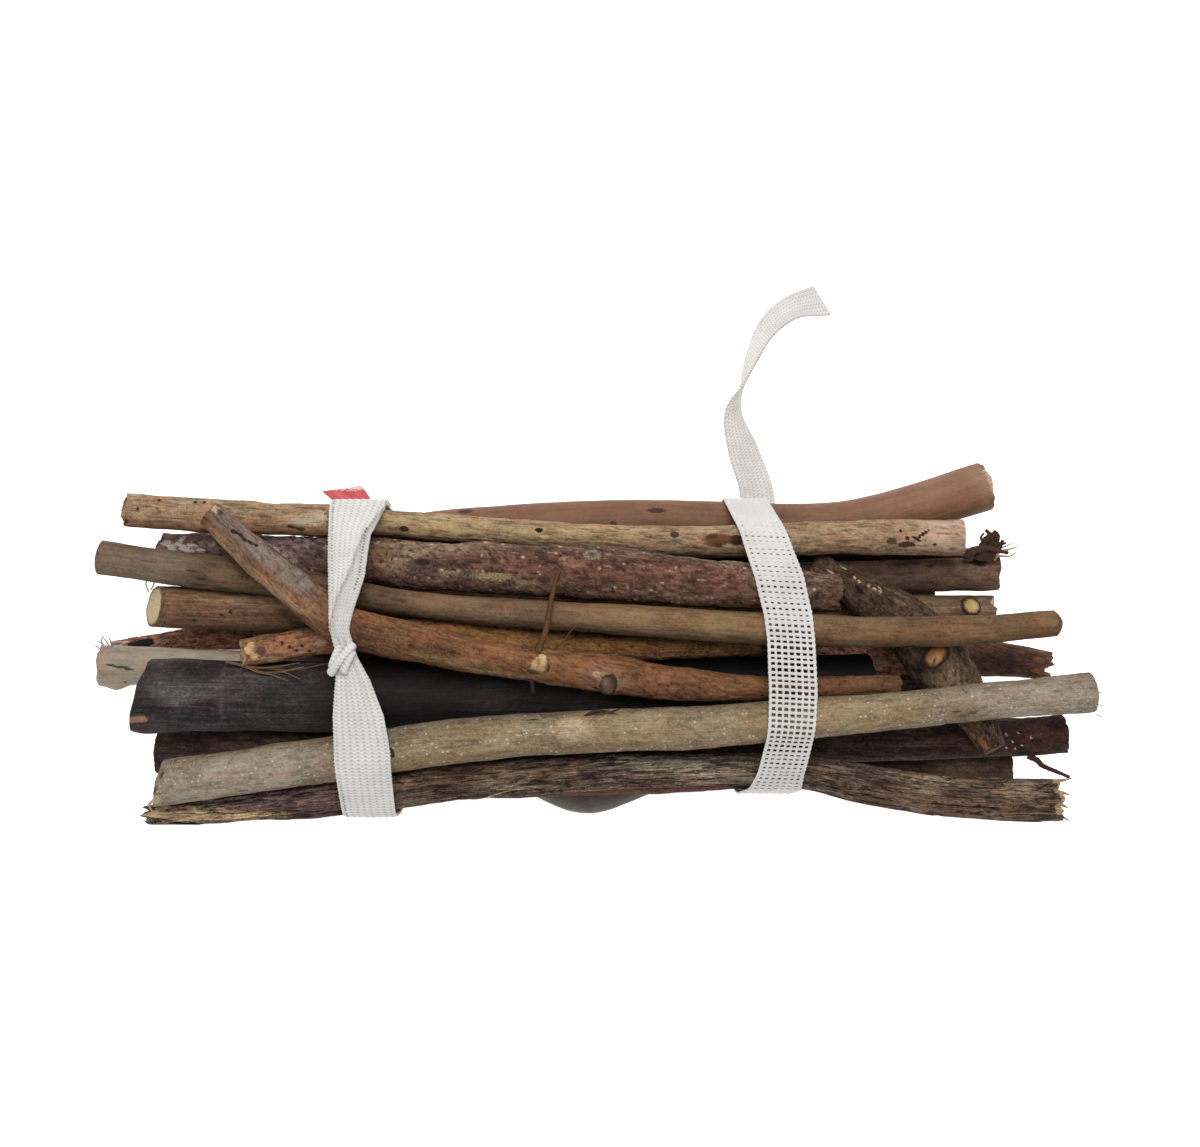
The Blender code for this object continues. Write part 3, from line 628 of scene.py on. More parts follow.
STICKS = {
    "tan_knotty_stick": Shape(
        furrow=(0.3, 18, 1.3), lumps=(0.55, 20),
        ends=(End(torn=1.5, dome=-0.6, wood=(150, 112, 80), teeth=0.5),
              End(torn=0.4, wood=(170, 146, 122))),
        spots=row(wash, [(150, 527), (200, 529), (260, 531), (320, 533)], 26, 6, (128, 86, 60), 0.75)
        + row(lump, [(205, 529), (230, 530), (255, 531), (280, 532), (305, 533), (325, 533)], 16, 9, 0.75)
        + row(wash, [(420, 523), (500, 528), (590, 530)], 40, 8, (178, 154, 112), 0.5)
        + row(paint, [(125, 502), (127, 520)], 2.2, 5.0, (84, 58, 42), 0.85, -0.3)
        + row(paint, [(141, 509), (198, 502), (209, 503), (164, 500)], 2.0, 1.5, (78, 54, 40), 0.9)
        + row(paint, [(296, 526), (304, 528)], 3.4, 1.4, DARK)
        + [paint(123, 515, 3, 4, STRAW, 0.9, 0.4), paint(317, 518, 11, 6, (212, 190, 160), 0.75),
           paint(300, 521, 5, 3, PALE, 0.8), paint(405, 530, 3.4, 2.8, (74, 50, 36), 1.0, -0.3),
           paint(541, 530, 2.8, 2.0, BLACK, 0.9, -0.7), paint(545, 537, 3.6, 1.8, CREAM, 0.9),
           paint(674, 534, 3.2, 2.6, (84, 60, 46), 0.9, 0.6),
           paint(718, 540, 11.5, 5.6, (118, 78, 54), 0.75, 0.5),
           paint(712, 537, 3.4, 1.6, (84, 52, 38), 0.9, -0.3),
           paint(722, 545, 3.4, 1.4, (84, 52, 38), 0.8, -0.3),
           paint(735, 540, 4.0, 3.6, (54, 32, 24), 1.0, 0.3), paint(712, 531, 5, 1.2, CREAM, 0.8),
           paint(728, 546, 3, 1.2, CREAM, 0.7), paint(700, 545, 2.4, 1.4, CREAM, 0.6),
           paint(903, 545, 6.0, 2.6, (84, 58, 44), 1.0, -0.4), paint(888, 541, 3.6, 2.4, (96, 70, 54)),
           paint(919, 534, 7.0, 1.1, (64, 46, 38), 1.0, -0.3, -38),
           paint(912, 539, 4, 1.0, DARK, 1.0, 0, 30),
           wash(948, 530, 20, 14, (200, 172, 152), 0.6), paint(957, 541, 8, 2.5, (190, 150, 132), 0.6)]
        + row(paint, [(897, 531), (930, 545), (905, 538)], 1.8, 1.4, DARK)),
    "smooth_red_stick": Shape(
        furrow=(0.08, 30, 3), lumps=(0.35, 40),
        ends=(End(), End(lean=-0.15, torn=1.2, dome=1.6, wood=(158, 128, 98))),
        spots=row(wash, [(430, 515), (540, 510), (640, 508)], 50, 10, (126, 88, 64), 0.7)
        + row(wash, [(860, 500), (930, 490)], 46, 16, (140, 102, 78), 0.7)
        + [wash(985, 478, 12, 16, (150, 120, 92), 0.7), paint(468, 511, 5.5, 2.8, (78, 50, 42), 1.0, -0.4),
           paint(655, 510, 7, 2.2, (80, 46, 40), 1.0, -0.3), paint(614, 523, 2.6, 1.6, (82, 50, 40)),
           paint(998, 476, 3.4, 12, (206, 180, 144), 0.75), paint(992, 500, 5, 4, (124, 96, 72), 0.7),
           paint(512, 524, 3, 1.2, (96, 60, 48)), paint(940, 470, 3, 1, DARK)]),
    "rough_red_stick": Shape(
        furrow=(0.4, 7, 2.4), lumps=(0.75, 18),
        ends=(End(torn=1.5, wood=(150, 124, 106)), End(torn=2.5, dome=-1, wood=(70, 50, 40))),
        spots=row(wash, [(180, 540), (250, 548), (310, 556)], 30, 16, (128, 104, 100), 0.7)
        + row(lump, [(200, 539), (225, 540), (250, 541), (275, 542), (300, 543), (325, 544)], 16, 9, 1.25)
        + row(wash, [(500, 558), (560, 566), (700, 578), (640, 570)], 34, 10, (112, 72, 58), 0.6)
        + row(paint, [(168, 543), (176, 547), (184, 544), (192, 549), (200, 546), (207, 550), (180, 551),
                      (197, 552), (188, 540)], 4.2, 1.9, (208, 198, 188), 0.72)
        + row(paint, [(283, 551), (292, 556), (302, 562), (168, 541), (275, 548)],
              4, 2.2, (196, 184, 172), 0.7)
        + [paint(388, 553, 7, 7, (156, 118, 88), 0.55, 0.3), wash(392, 558, 13, 10, (142, 108, 82), 0.7),
           wash(440, 545, 36, 8, (158, 134, 108), 0.7), wash(730, 560, 30, 8, (130, 108, 86), 0.6),
           paint(495, 577, 19, 3.6, (168, 152, 112), 0.62, 0.2),
           paint(455, 573, 9, 2.4, (158, 138, 100), 0.6),
           paint(530, 583, 8, 2, (150, 140, 104), 0.6), paint(594, 555, 6.4, 5, (164, 144, 128), 0.7, 0.5),
           paint(594, 555, 2.4, 1.8, (84, 56, 48)), paint(610, 553, 4, 3, (160, 140, 124), 0.6),
           paint(566, 558, 3.5, 3, (170, 150, 134), 0.6), paint(429, 562, 6, 3, DARK, 0.8, -0.3)]
        + row(paint, [(470, 549), (520, 552), (650, 563), (700, 580), (577, 548), (635, 553), (553, 552),
                      (610, 566), (668, 571), (722, 586), (742, 578), (690, 566), (505, 545), (628, 584)],
              4.0, 1.3, (170, 150, 130), 0.62)
        + row(paint, [(540, 574), (585, 578), (640, 590), (690, 593), (480, 562)],
              7, 1.5, (66, 46, 40), 0.62, -0.3)
        + row(paint, [(382, 549), (391, 549), (386, 556), (396, 555), (389, 562), (379, 555), (398, 549),
                      (394, 562), (381, 562), (401, 560)], 1.5, 1.3, (84, 54, 40), 0.9, -0.3)),
    "crooked_orange_stick": Shape(
        furrow=(0.3, 8, 2), lumps=(0.45, 16), cross=0.08,
        ends=(End(torn=1.0, wood=(150, 128, 104)), End(torn=1.0, wood=(120, 92, 66))),
        spots=row(wash, [(232, 524), (248, 540), (268, 556), (290, 573), (312, 588)], 15, 9,
                  (126, 108, 96), 0.95)
        + row(wash, [(218, 540), (238, 560), (262, 582), (286, 598), (308, 612)],
              14, 6, (148, 112, 84), 0.9)
        + row(paint, [(222, 546), (246, 571), (272, 592), (296, 607)], 12, 2.4, (172, 136, 106), 0.7, 0.4)
        + row(paint, [(236, 534), (240, 536), (245, 539), (249, 544), (255, 547), (261, 550)],
              2.2, 1.4, (44, 42, 48), 1.0, -0.2)
        + row(wash, [(380, 615), (430, 628), (480, 640), (530, 652), (575, 668)], 30, 9, (140, 94, 60), 0.8)
        + row(wash, [(450, 662), (500, 674), (550, 684), (590, 694)], 24, 2.5, (140, 120, 86), 0.55)
        + row(wash, [(660, 668), (720, 680), (780, 688)], 34, 8, (134, 90, 58), 0.7)
        + [paint(215, 509, 3.6, 3, CREAM, 1.0, 0.3), paint(221, 513, 3.4, 2, (64, 56, 54), 0.9),
           wash(330, 602, 12, 8, (130, 88, 60), 0.7), wash(600, 680, 12, 12, (128, 96, 74), 0.8),
           lump(598, 672, 12, 6, 1.4), wash(603, 682, 13, 10, (150, 112, 84), 0.7),
           knot(606, 683, 5.0, 5.4, 2.0, (132, 102, 86), 0.85),
           paint(604, 680, 2.2, 2.4, (150, 120, 104), 0.8),
           paint(600, 690, 5.5, 2.2, (74, 52, 42), 0.8, -0.6),
           paint(610, 680, 2.2, 5.0, (84, 58, 46), 0.7, -0.6),
           paint(604, 686, 2.4, 2.2, (96, 72, 60), 0.9, -0.5), paint(596, 674, 2.6, 2.0, (196, 164, 134)),
           paint(612, 695, 4, 3, (110, 86, 74), 0.8, 0.6),
           paint(540, 666, 4.4, 5.0, (212, 178, 128), 1.0, 1.1),
           paint(544, 659, 2.4, 3.4, (226, 196, 148), 1.0, 0.8),
           paint(538, 663, 1.0, 3.0, (150, 108, 72), 0.9, -0.3),
           # Painted shadow: the two dark marks beside and below the cream stub.
           paint(548, 668, 1.8, 3.4, (56, 38, 28), 0.8, -0.4),
           paint(536, 672, 5, 2.0, (58, 40, 30), 0.9), wash(880, 684, 30, 8, (110, 78, 50), 0.8)]),
    "short_knotted_stick": Shape(
        furrow=(0.45, 6, 2), lumps=(0.9, 11),
        ends=(End(lean=0.1, torn=1.2, wood=(150, 126, 96)), End(torn=0.8, dome=0.5, wood=(150, 112, 82))),
        spots=row(wash, [(925, 640), (945, 672), (962, 700)], 13, 11, (124, 106, 82), 0.8)
        + row(paint, [(812, 572), (822, 577), (832, 580), (829, 571), (843, 566)],
              5, 1.0, (196, 178, 150), 0.75)
        + row(paint, [(853, 575), (858, 579), (873, 588), (880, 591), (866, 584), (877, 585)],
              1.7, 1.3, (206, 182, 142), 0.9, 0.5)
        + row(paint, [(905, 612), (914, 605), (840, 598)], 3.5, 2.5, (104, 72, 56), 0.62)
        + [paint(857, 588, 4.5, 1.4, BLACK, 1.0, -0.4, 30), knot(936, 657, 6.2, 8.0, 1.9, (172, 122, 76)),
           paint(936, 660, 2.4, 3.4, (214, 172, 116), 0.8), paint(936, 660, 0.9, 1.2, DARK),
           wash(935, 657, 12, 12, (84, 64, 50), 0.7),
           paint(983, 745, 7, 2.4, (150, 100, 70), 0.8), paint(972, 738, 4, 2.4, (148, 112, 80), 0.7)]),
    "thin_olive_stick": Shape(
        furrow=(0.12, 20, 2), lumps=(0.35, 24),
        ends=(End(dome=1.2, torn=0.3, wood=(116, 96, 78)), End(dome=2.4, torn=0.3, wood=(120, 88, 62))),
        spots=row(wash, [(110, 558), (160, 566)], 24, 14, (122, 104, 88), 0.8)
        + row(wash, [(430, 600), (500, 606), (580, 612)], 34, 9, (124, 97, 72), 0.7)
        + row(wash, [(660, 612), (760, 622)], 44, 12, (146, 116, 80), 0.6)
        + row(wash, [(900, 630), (1000, 625)], 44, 12, (134, 100, 68), 0.6)
        + row(paint, [(226, 590), (243, 596), (258, 598)], 9, 3.6, (74, 72, 46), 0.75)
        + row(paint, [(200, 572), (207, 579), (203, 585)], 5, 1.3, (74, 56, 44), 0.8)
        + row(paint, [(386, 596), (397, 600), (407, 601)], 4, 1.8, (92, 70, 52), 0.62)
        + [paint(498, 598, 1.6, 1.4, DARK), wash(205, 580, 8, 10, (92, 76, 60), 0.7),
           wash(1045, 636, 12, 5, (106, 74, 52), 0.8), paint(912, 647, 3, 1.5, DARK, 0.8)]),
    "pale_speckled_stick": Shape(
        furrow=(0.18, 14, 2.2), lumps=(0.4, 22),
        ends=(End(lean=0.2, torn=0.8, dome=-0.5, wood=(134, 112, 88), skew=0.3),
              End(lean=0, torn=0.3, dome=0, wood=(150, 138, 120))),
        spots=row(wash, [(200, 780), (280, 768)], 34, 14, (160, 150, 134), 0.7)
        + row(wash, [(470, 742), (620, 726), (760, 722), (860, 712)], 46, 14, (158, 138, 104), 0.7)
        + row(wash, [(1000, 700), (1060, 696)], 28, 14, (164, 152, 136), 0.7)
        + row(wash, [(450, 760), (600, 748), (740, 745)], 46, 4, (132, 108, 76), 0.7)
        + row(paint, [(510, 731), (519, 735), (529, 731), (538, 734)],
              3.4, 0.7, (216, 206, 190), 0.75, 0.0, 14)
        + row(paint, [(595, 712), (604, 711), (612, 713)], 4.5, 1.0, (70, 52, 40), 0.9)
        + row(paint, [(166, 762), (155, 776), (152, 790), (156, 800)], 2.4, 3.0, (104, 82, 62), 0.8)
        + row(paint, [(952, 712), (960, 716), (968, 713)], 4.0, 1.2, (104, 86, 66), 0.8)
        + [wash(570, 728, 12, 7, (190, 172, 142), 0.7), paint(154, 801, 3.4, 4, CREAM, 0.8),
           knot(395, 752, 2.6, 3.0, 0.8, (110, 72, 48)), wash(960, 713, 10, 8, (126, 108, 84), 0.8),
           paint(1097, 714, 3, 3, WHITE, 0.9), paint(537, 719, 3, 1, DARK, 0.8)]),
    "spotted_orange_stick": Shape(
        furrow=(0.25, 10, 1.8), lumps=(0.4, 14),
        ends=(End(torn=1.6, dome=-0.3, wood=(222, 184, 134)), End()),
        spots=row(wash, [(270, 650), (300, 648), (330, 645)], 16, 8, (158, 110, 80), 0.8)
        + row(wash, [(480, 632), (560, 640), (640, 640)], 46, 8, (148, 104, 58), 0.8)
        + row(paint, [(284, 642), (291, 647), (297, 651), (303, 646), (310, 652), (316, 647)],
              1.6, 1.3, DARK)
        + [paint(247, 652, 4, 7, (228, 190, 138), 0.9), paint(258, 651, 5.2, 3.0, (110, 74, 74), 1.0),
           paint(323, 643, 5, 3, (210, 158, 136), 0.8), paint(274, 660, 5, 2, (226, 192, 150), 0.8)]),
    "cream_cut_stick": Shape(
        furrow=(0.22, 16, 1.5), lumps=(0.35, 24),
        ends=(End(lean=0.7, torn=0.3, dome=0.2, wood=(232, 208, 166)),
              End(lean=0.25, torn=2.2, dome=0.3, wood=(216, 188, 144))),
        spots=row(wash, [(190, 592), (260, 600), (310, 606)], 28, 6, (146, 114, 86), 0.7)
        + row(wash, [(190, 622), (250, 628), (320, 632)], 30, 7, (108, 78, 62), 0.8)
        + row(paint, [(200, 620), (227, 615), (165, 623), (236, 612)], 2.0, 1.4, DARK)
        + row(wash, [(930, 604), (975, 604)], 16, 8, (134, 112, 88), 0.8)
        + [knot(966, 607, 6.6, 5.6, 1.0, (214, 180, 116)), paint(967, 607, 2.4, 2, (236, 208, 150))]),
    "red_bark_strip": Shape(
        furrow=(0.4, 8, 1.8), lumps=(0.5, 20), curl=(270, 68), wall=2.0,
        ends=(End(torn=9, teeth=0.45), End(torn=7, teeth=0.45)),
        spots=row(wash, [(200, 640), (240, 642)], 20, 8, (142, 94, 72), 0.7)
        + row(paint, [(128, 646), (137, 644), (146, 643)], 6, 3.4, (38, 30, 38), 0.9)
        + row(paint, [(1040, 660), (1050, 668), (1044, 673)], 4, 3, (140, 86, 58), 0.8)
        + row(wash, [(970, 660), (1000, 662), (1030, 664)], 26, 16, (78, 50, 42), 0.9)
        + [paint(106, 646, 5, 6, (226, 200, 190), 0.9), wash(1010, 648, 26, 5, (96, 60, 48), 0.6)]),
    "pale_grey_stick": Shape(
        furrow=(0.1, 26, 2.6), lumps=(0.4, 30),
        ends=(End(torn=2.2, dome=1.0, wood=(158, 144, 126), teeth=0.25), End()),
        spots=[lump(116, 690, 9, 7, 1.6), lump(101, 672, 4, 12, 0.8),
               paint(114, 665, 5, 1.0, (78, 76, 56), 0.9, -0.2, 8),
               paint(124, 667, 6, 1.2, (70, 68, 50), 0.9),
               paint(134, 670, 4, 1.0, (84, 80, 62), 0.8), paint(127, 683, 1.6, 1.6, DARK, 0.8),
               wash(150, 660, 24, 10, (158, 150, 134), 0.6), wash(112, 688, 10, 8, (164, 146, 128), 0.6)]),
    "dark_bark_curl": Shape(
        furrow=(0.15, 30, 3.5), lumps=(0.45, 40), curl=(226, 24), wall=2.3,
        ends=(End(lean=0.1, torn=1.0, teeth=0.25, skew=0.25), End(lean=0, torn=2.0, teeth=0.4)),
        spots=row(lump, [(140, 728), (156, 729), (175, 727), (200, 727), (225, 728)], 12, 8, 1.3)
        # Painted sheen: a soft grey wash on the left part of the curl.
        + row(wash, [(168, 690), (184, 692), (205, 688)], 16, 7, (92, 86, 88), 0.45)
        + row(wash, [(350, 690), (372, 700), (400, 690), (440, 700)], 30, 24, (24, 19, 21), 0.8)
        + row(wash, [(178, 718), (205, 719), (232, 718)], 14, 4, (30, 33, 48), 0.6)
        + row(wash, [(500, 690), (560, 690), (600, 680)], 46, 16, (30, 22, 22), 0.8)
        + row(wash, [(300, 690), (330, 715)], 24, 12, (48, 42, 42), 0.5)
        # Painted shade: the right part of the curl is washed near black, the deep shade among the sticks
        # there.
        + row(wash, [(880, 655), (850, 655), (820, 650), (780, 655), (740, 660), (690, 665), (640, 670)],
              26, 26, (7, 6, 7), 1.0)
        + row(paint, [(135, 719), (143, 719)], 4.5, 3.0, (176, 128, 92), 1.0)
        + row(paint, [(137, 729), (146, 729)], 5.0, 2.4, (104, 88, 76), 0.9)
        + [wash(229, 690, 2, 26, (74, 68, 70), 0.5)]),
    "dark_red_stick": Shape(
        furrow=(0.3, 14, 1.8), lumps=(0.4, 26),
        ends=(End(wood=(70, 52, 44)), End(torn=1.2, dome=-1.2, wood=(60, 44, 36))),
        spots=row(lump, [(170, 735), (195, 735), (220, 735), (245, 735), (275, 735)], 16, 8, 0.9)
        + row(paint, [(1000, 735), (1006, 742), (1013, 733), (1018, 746), (1026, 738), (1003, 748),
                          (1011, 749), (996, 741)], 1.0, 1.0, (224, 210, 196), 0.9)
        + row(wash, [(1040, 735), (990, 740)], 24, 10, (84, 52, 42), 0.7)
        + row(wash, [(200, 745), (250, 742)], 34, 9, (74, 54, 48), 0.6)),
    "fibrous_grey_stick": Shape(
        furrow=(1.0, 34, 2.2), lumps=(0.55, 24),
        ends=(End(torn=9, dome=-2, wood=(214, 184, 142), teeth=0.55),
              End(torn=3.5, dome=-0.8, wood=(206, 178, 138), teeth=0.7)),
        spots=row(wash, [(230, 800), (280, 800), (320, 802)], 24, 9, (112, 90, 88), 0.7)
        + row(paint, [(155, 814), (172, 816), (188, 817), (160, 808)], 9, 2.6, (222, 196, 156), 0.85)
        + row(wash, [(200, 812), (235, 816), (262, 818)], 20, 4, (190, 160, 124), 0.8)
        + row(wash, [(430, 778), (500, 768), (570, 762)], 30, 8, (136, 110, 90), 0.6)
        + row(wash, [(640, 762), (700, 768), (750, 775)], 30, 7, (148, 134, 116), 0.6)
        + row(wash, [(900, 800), (960, 812), (1020, 808)], 36, 12, (116, 92, 76), 0.6)
        + row(wash, [(940, 780), (1000, 790)], 30, 5, (158, 136, 114), 0.6)
        + row(paint, [(1062, 780), (1064, 795), (1062, 810)], 4, 5, (222, 190, 146), 0.85)
        + row(paint, [(500, 790), (512, 788), (536, 787)], 4, 1.0, (196, 170, 140), 0.6)),
    "umber_stick": Shape(
        furrow=(0.3, 12, 2.0), lumps=(0.5, 20), ends=(End(), End(torn=0.6, dome=0, wood=(112, 92, 74))),
        spots=row(wash, [(560, 792), (620, 790), (680, 792)], 30, 8, (104, 58, 42), 0.8)
        + row(paint, [(550, 787), (556, 786), (645, 781), (560, 790)], 1.2, 1.0, (220, 206, 184))
        + row(wash, [(960, 762), (1000, 766)], 24, 10, (106, 84, 70), 0.7)),
    "grey_elbow_stick": Shape(
        furrow=(0.1, 20, 2.6), lumps=(0.35, 22),
        spots=row(wash, [(570, 805), (600, 808), (625, 800)], 20, 14, (104, 96, 90), 0.9)
        # Painted sheen: a narrow lighter wash along the stick.
        + row(wash, [(585, 815)], 24, 6, (128, 120, 114), 0.7)),
    "brown_bark_curl": Shape(
        furrow=(0.22, 14, 1.8), lumps=(0.4, 20), curl=(45, 24), wall=2.2,
        ends=(End(torn=1), End(lean=0.1, torn=2.0, teeth=0.3)),
        spots=row(paint, [(976, 556), (980, 563), (970, 560)], 5, 3, (40, 32, 30), 0.8)
        + row(wash, [(880, 568), (930, 572)], 30, 14, (112, 88, 74), 0.6)
        + [wash(900, 560, 12, 6, (66, 50, 42), 0.7), paint(925, 566, 3, 2, (72, 52, 44), 0.7)]),
}
INNER_STICKS = ("upper_back_stick", "back_stick", "front_inner_stick", "floor_back_stick",
                "floor_middle_stick", "floor_inner_stick", "floor_front_stick")
STICKS.update({name: Shape() for name in INNER_STICKS})

# Splinters, shoots and hairs that stand off a stick: the pixels that they pass, each with its
# height, how wide they are at their start and at their end, and their colour.
Sliver = namedtuple("Sliver", "route start end colour")
FUZZ, SHRED, THREAD = (238, 214, 202), (78, 56, 44), (212, 178, 136)
SLIVERS = {
    "crooked_orange_stick": [
        Sliver([(538, 652, 64), (546, 630, 65), (551, 602, 65), (555, 584, 65), (560, 569, 65)],
               2.3, 0.8, (112, 76, 50)),
        Sliver([(551, 652, 63), (563, 642, 64), (570, 632, 64), (576, 626, 64)], 0.5, 0.3, (104, 70, 48)),
        Sliver([(531, 672, 62), (532, 682, 61.5), (533, 693, 60)], 2.6, 1.0, (60, 42, 32))],
    "red_bark_strip": [
        Sliver([(108, 650, 34), (103, 645, 36), (98, 641, 37)], 0.7, 0.45, FUZZ),
        Sliver([(110, 648, 34), (106, 641, 37), (102, 637, 38)], 0.6, 0.45, FUZZ),
        Sliver([(112, 647, 34), (110, 640, 37), (108, 636, 37)], 0.6, 0.45, FUZZ),
        Sliver([(106, 652, 34), (99, 648, 36), (95, 645, 36)], 0.7, 0.45, FUZZ),
        Sliver([(104, 646, 34), (101, 640, 36), (104, 635, 36)], 0.6, 0.4, FUZZ)],
    "cream_cut_stick": [
        Sliver([(149, 592, 45), (146, 585, 46), (147, 579, 46)], 0.6, 0.4, THREAD),
        Sliver([(151, 590, 45), (154, 583, 46), (152, 578, 46)], 0.6, 0.4, THREAD)],
    "spotted_orange_stick": [
        Sliver([(226, 662, 53), (262, 668, 54.5), (300, 663, 55)], 1.1, 0.4, (120, 96, 72)),
        Sliver([(236, 664, 53), (268, 673, 55), (304, 667, 56)], 0.8, 0.3, (158, 126, 90)),
        Sliver([(244, 664, 54), (262, 672, 55.5), (282, 672, 56), (300, 679, 56)],
               0.5, 0.2, (138, 108, 78)),
        Sliver([(240, 660, 54), (254, 671, 55.5), (272, 675, 56), (288, 681, 56.5)],
               0.5, 0.2, (150, 122, 90)),
        Sliver([(262, 668, 54), (292, 670, 55.5), (330, 663, 55)], 0.7, 0.3, (110, 86, 66))],
    "brown_bark_curl": [
        Sliver([(978, 559, 42), (982, 548, 44), (986, 540, 46), (992, 535, 47), (998, 538, 46)],
               3.4, 1.4, SHRED),
        Sliver([(984, 559, 42), (988, 549, 44), (992, 541, 46), (990, 535, 47), (986, 530, 46)],
               3.0, 1.0, SHRED),
        Sliver([(988, 559, 42), (992, 550, 44), (996, 543, 46), (998, 536, 47), (994, 531, 46)],
               2.8, 1.0, SHRED),
        Sliver([(990, 559, 42), (994, 552, 44), (1000, 546, 45), (1003, 540, 46)], 2.6, 1.0, SHRED),
        Sliver([(980, 559, 42), (984, 545, 44), (981, 538, 46), (984, 533, 46)], 1.6, 0.6, (98, 72, 56)),
        Sliver([(968, 559, 42), (972, 552, 44), (984, 548, 45), (996, 550, 45), (1008, 553, 44)],
               3.6, 1.2, (86, 64, 50)),
        Sliver([(981, 559, 42), (985, 551, 44), (995, 545, 45), (1006, 543, 46)], 3.0, 0.8, SHRED),
        Sliver([(994, 559, 42), (998, 553, 44), (1010, 549, 45), (1020, 546, 45)], 1.6, 0.2, STRAW),
        Sliver([(994, 559, 42), (998, 556, 44), (1010, 556, 44), (1018, 551, 45)], 1.2, 0.2, STRAW),
        Sliver([(992, 559, 42), (996, 551, 44), (1006, 546, 45), (1014, 543, 46)],
               1.0, 0.2, (150, 118, 86))],
    "fibrous_grey_stick": [
        Sliver([(488, 797, 47), (508, 791, 48), (530, 788, 48.6)], 0.5, 0.2, (206, 182, 150)),
        Sliver([(508, 790, 48), (526, 787, 48.6), (548, 785, 49)], 0.5, 0.2, (190, 164, 132)),
        Sliver([(174, 823, 40), (190, 829, 39), (205, 832, 38), (218, 829, 39)], 2.6, 1.0, (88, 66, 54)),
        Sliver([(1052, 782, 43), (1064, 780, 42), (1072, 778, 41)], 1.6, 0.3, (222, 190, 146)),
        Sliver([(1054, 792, 44), (1064, 793, 43), (1069, 795, 42)], 1.8, 0.3, (206, 172, 128)),
        Sliver([(1052, 804, 43), (1062, 805, 42), (1068, 808, 41)], 1.8, 0.4, (222, 190, 146)),
        Sliver([(1050, 815, 41), (1062, 817, 40), (1070, 821, 39)], 1.6, 0.3, (190, 156, 118))],
    "dark_red_stick": [
        Sliver([(1028, 756, 34), (1037, 760, 34), (1043, 766, 34), (1055, 771, 34), (1069, 777, 33)],
               2.2, 1.2, (84, 62, 50))],
    "pale_speckled_stick": [
        Sliver([(584, 717, 60), (597, 711, 61), (614, 713, 60)], 1.3, 0.5, (72, 54, 42)),
        Sliver([(592, 716, 60), (606, 713, 61), (620, 709, 59)], 0.8, 0.4, (96, 76, 58)),
        Sliver([(154, 800, 46), (149, 805, 44), (153, 812, 42)], 1.2, 0.4, CREAM),
        Sliver([(1096, 694, 60), (1103, 692, 60), (1108, 694, 59)], 0.5, 0.2, WHITE),
        Sliver([(1097, 704, 61), (1104, 706, 60), (1108, 704, 60)], 0.5, 0.2, WHITE),
        Sliver([(1096, 714, 60), (1103, 718, 59), (1107, 722, 58)], 0.5, 0.2, WHITE)],
}
SLOTS = {
    "tan_knotty_stick": "tan_bark", "smooth_red_stick": "smooth_red_bark",
    "rough_red_stick": "rough_red_bark", "crooked_orange_stick": "orange_bark",
    "short_knotted_stick": "knotted_bark", "thin_olive_stick": "olive_bark",
    "pale_speckled_stick": "pale_bark", "spotted_orange_stick": "spotted_bark",
    "cream_cut_stick": "brown_bark", "red_bark_strip": "red_flaky_bark",
    "pale_grey_stick": "grey_smooth_bark", "dark_bark_curl": "dark_bark",
    "dark_red_stick": "dark_red_bark", "fibrous_grey_stick": "fibrous_bark",
    "umber_stick": "umber_bark", "grey_elbow_stick": "grey_smooth_bark",
    "brown_bark_curl": "brown_curl_bark", "upper_back_stick": "brown_bark",
    "back_stick": "tan_bark", "front_inner_stick": "olive_bark", "floor_back_stick": "umber_bark",
    "floor_middle_stick": "pale_bark", "floor_inner_stick": "fibrous_bark",
    "floor_front_stick": "orange_bark",
}
UNDER_BANDS = ((-82, -57), (46, 92))  # the x that the bands cover
KNOT_RING = (56, 40, 32)
INNER_BARK = (92, 62, 44)
THINNEST_BARK = 1.2


def carved(line, shape, degrees, seed):
    """How far the bark stands out of the stick's plain round surface, and its hollows.

    Long furrows are ridged noise drawn out along the stick. Lumps are wide soft noise. Cross
    rings are noise drawn out round it. Little of it goes outwards under the bands.
    """
    turn = np.radians(degrees)[None, :]
    radius = line.radius[:, None]
    along = np.broadcast_to(line.along[:, None], radius.shape[:1] + turn.shape[1:])
    place = np.stack([along, radius * np.cos(turn), radius * np.sin(turn)], axis=-1)
    depth, long, wide = shape.furrow
    waves = 1.3 * noise(place / (26, 9, 9), seed + 21)[..., None] * (0, 1, 1)
    furrows = ridges((place + waves) / (long, wide, wide), seed, 3)
    size, wave = shape.lumps
    lumps = layers(place / wave, seed + 5, 3, 0.55)
    rings = noise(place / (1.3, 8, 8), seed + 9)
    lift = -depth * rise(furrows, 0.55, 1.0) + size * (lumps - 0.25) + shape.cross * rings
    under = np.zeros(len(line.along))
    for low, high in UNDER_BANDS:
        x = line.at[:, 0]
        under = np.maximum(under, rise(x, low - 6, low) * (1 - rise(x, high, high + 6)))
    lift = np.where(under[:, None] > 0, np.minimum(lift, 0.25 + 0.5 * (1 - under[:, None])), lift)
    hollow = rise(furrows, 0.72, 1.0) * min(1.0, depth / 0.4)
    return place, lift, hollow


def end_offsets(end, way, degrees, radius, seed):
    """How far each side of an end reaches along the stick, from the place of its farthest side.

    way is -1 at the first end and 1 at the last. The top recedes by lean and the back is moved
    by skew, both per millimetre. The tear is wide noise round the end, with fine teeth on it.
    """
    turn = np.radians(degrees)
    ring = np.column_stack([np.cos(turn), np.sin(turn), 0 * turn])
    wide = np.abs(layers(0.9 * ring, seed + 31, 2))
    teeth = end.teeth * np.abs(layers(4.0 * ring, seed + 37, 3, 0.7))
    slope = end.skew * np.cos(turn) - way * end.lean * np.sin(turn)
    inset = math.hypot(end.lean, end.skew) * radius + end.torn * (wide + 0.45 * teeth)
    return slope * radius - way * inset


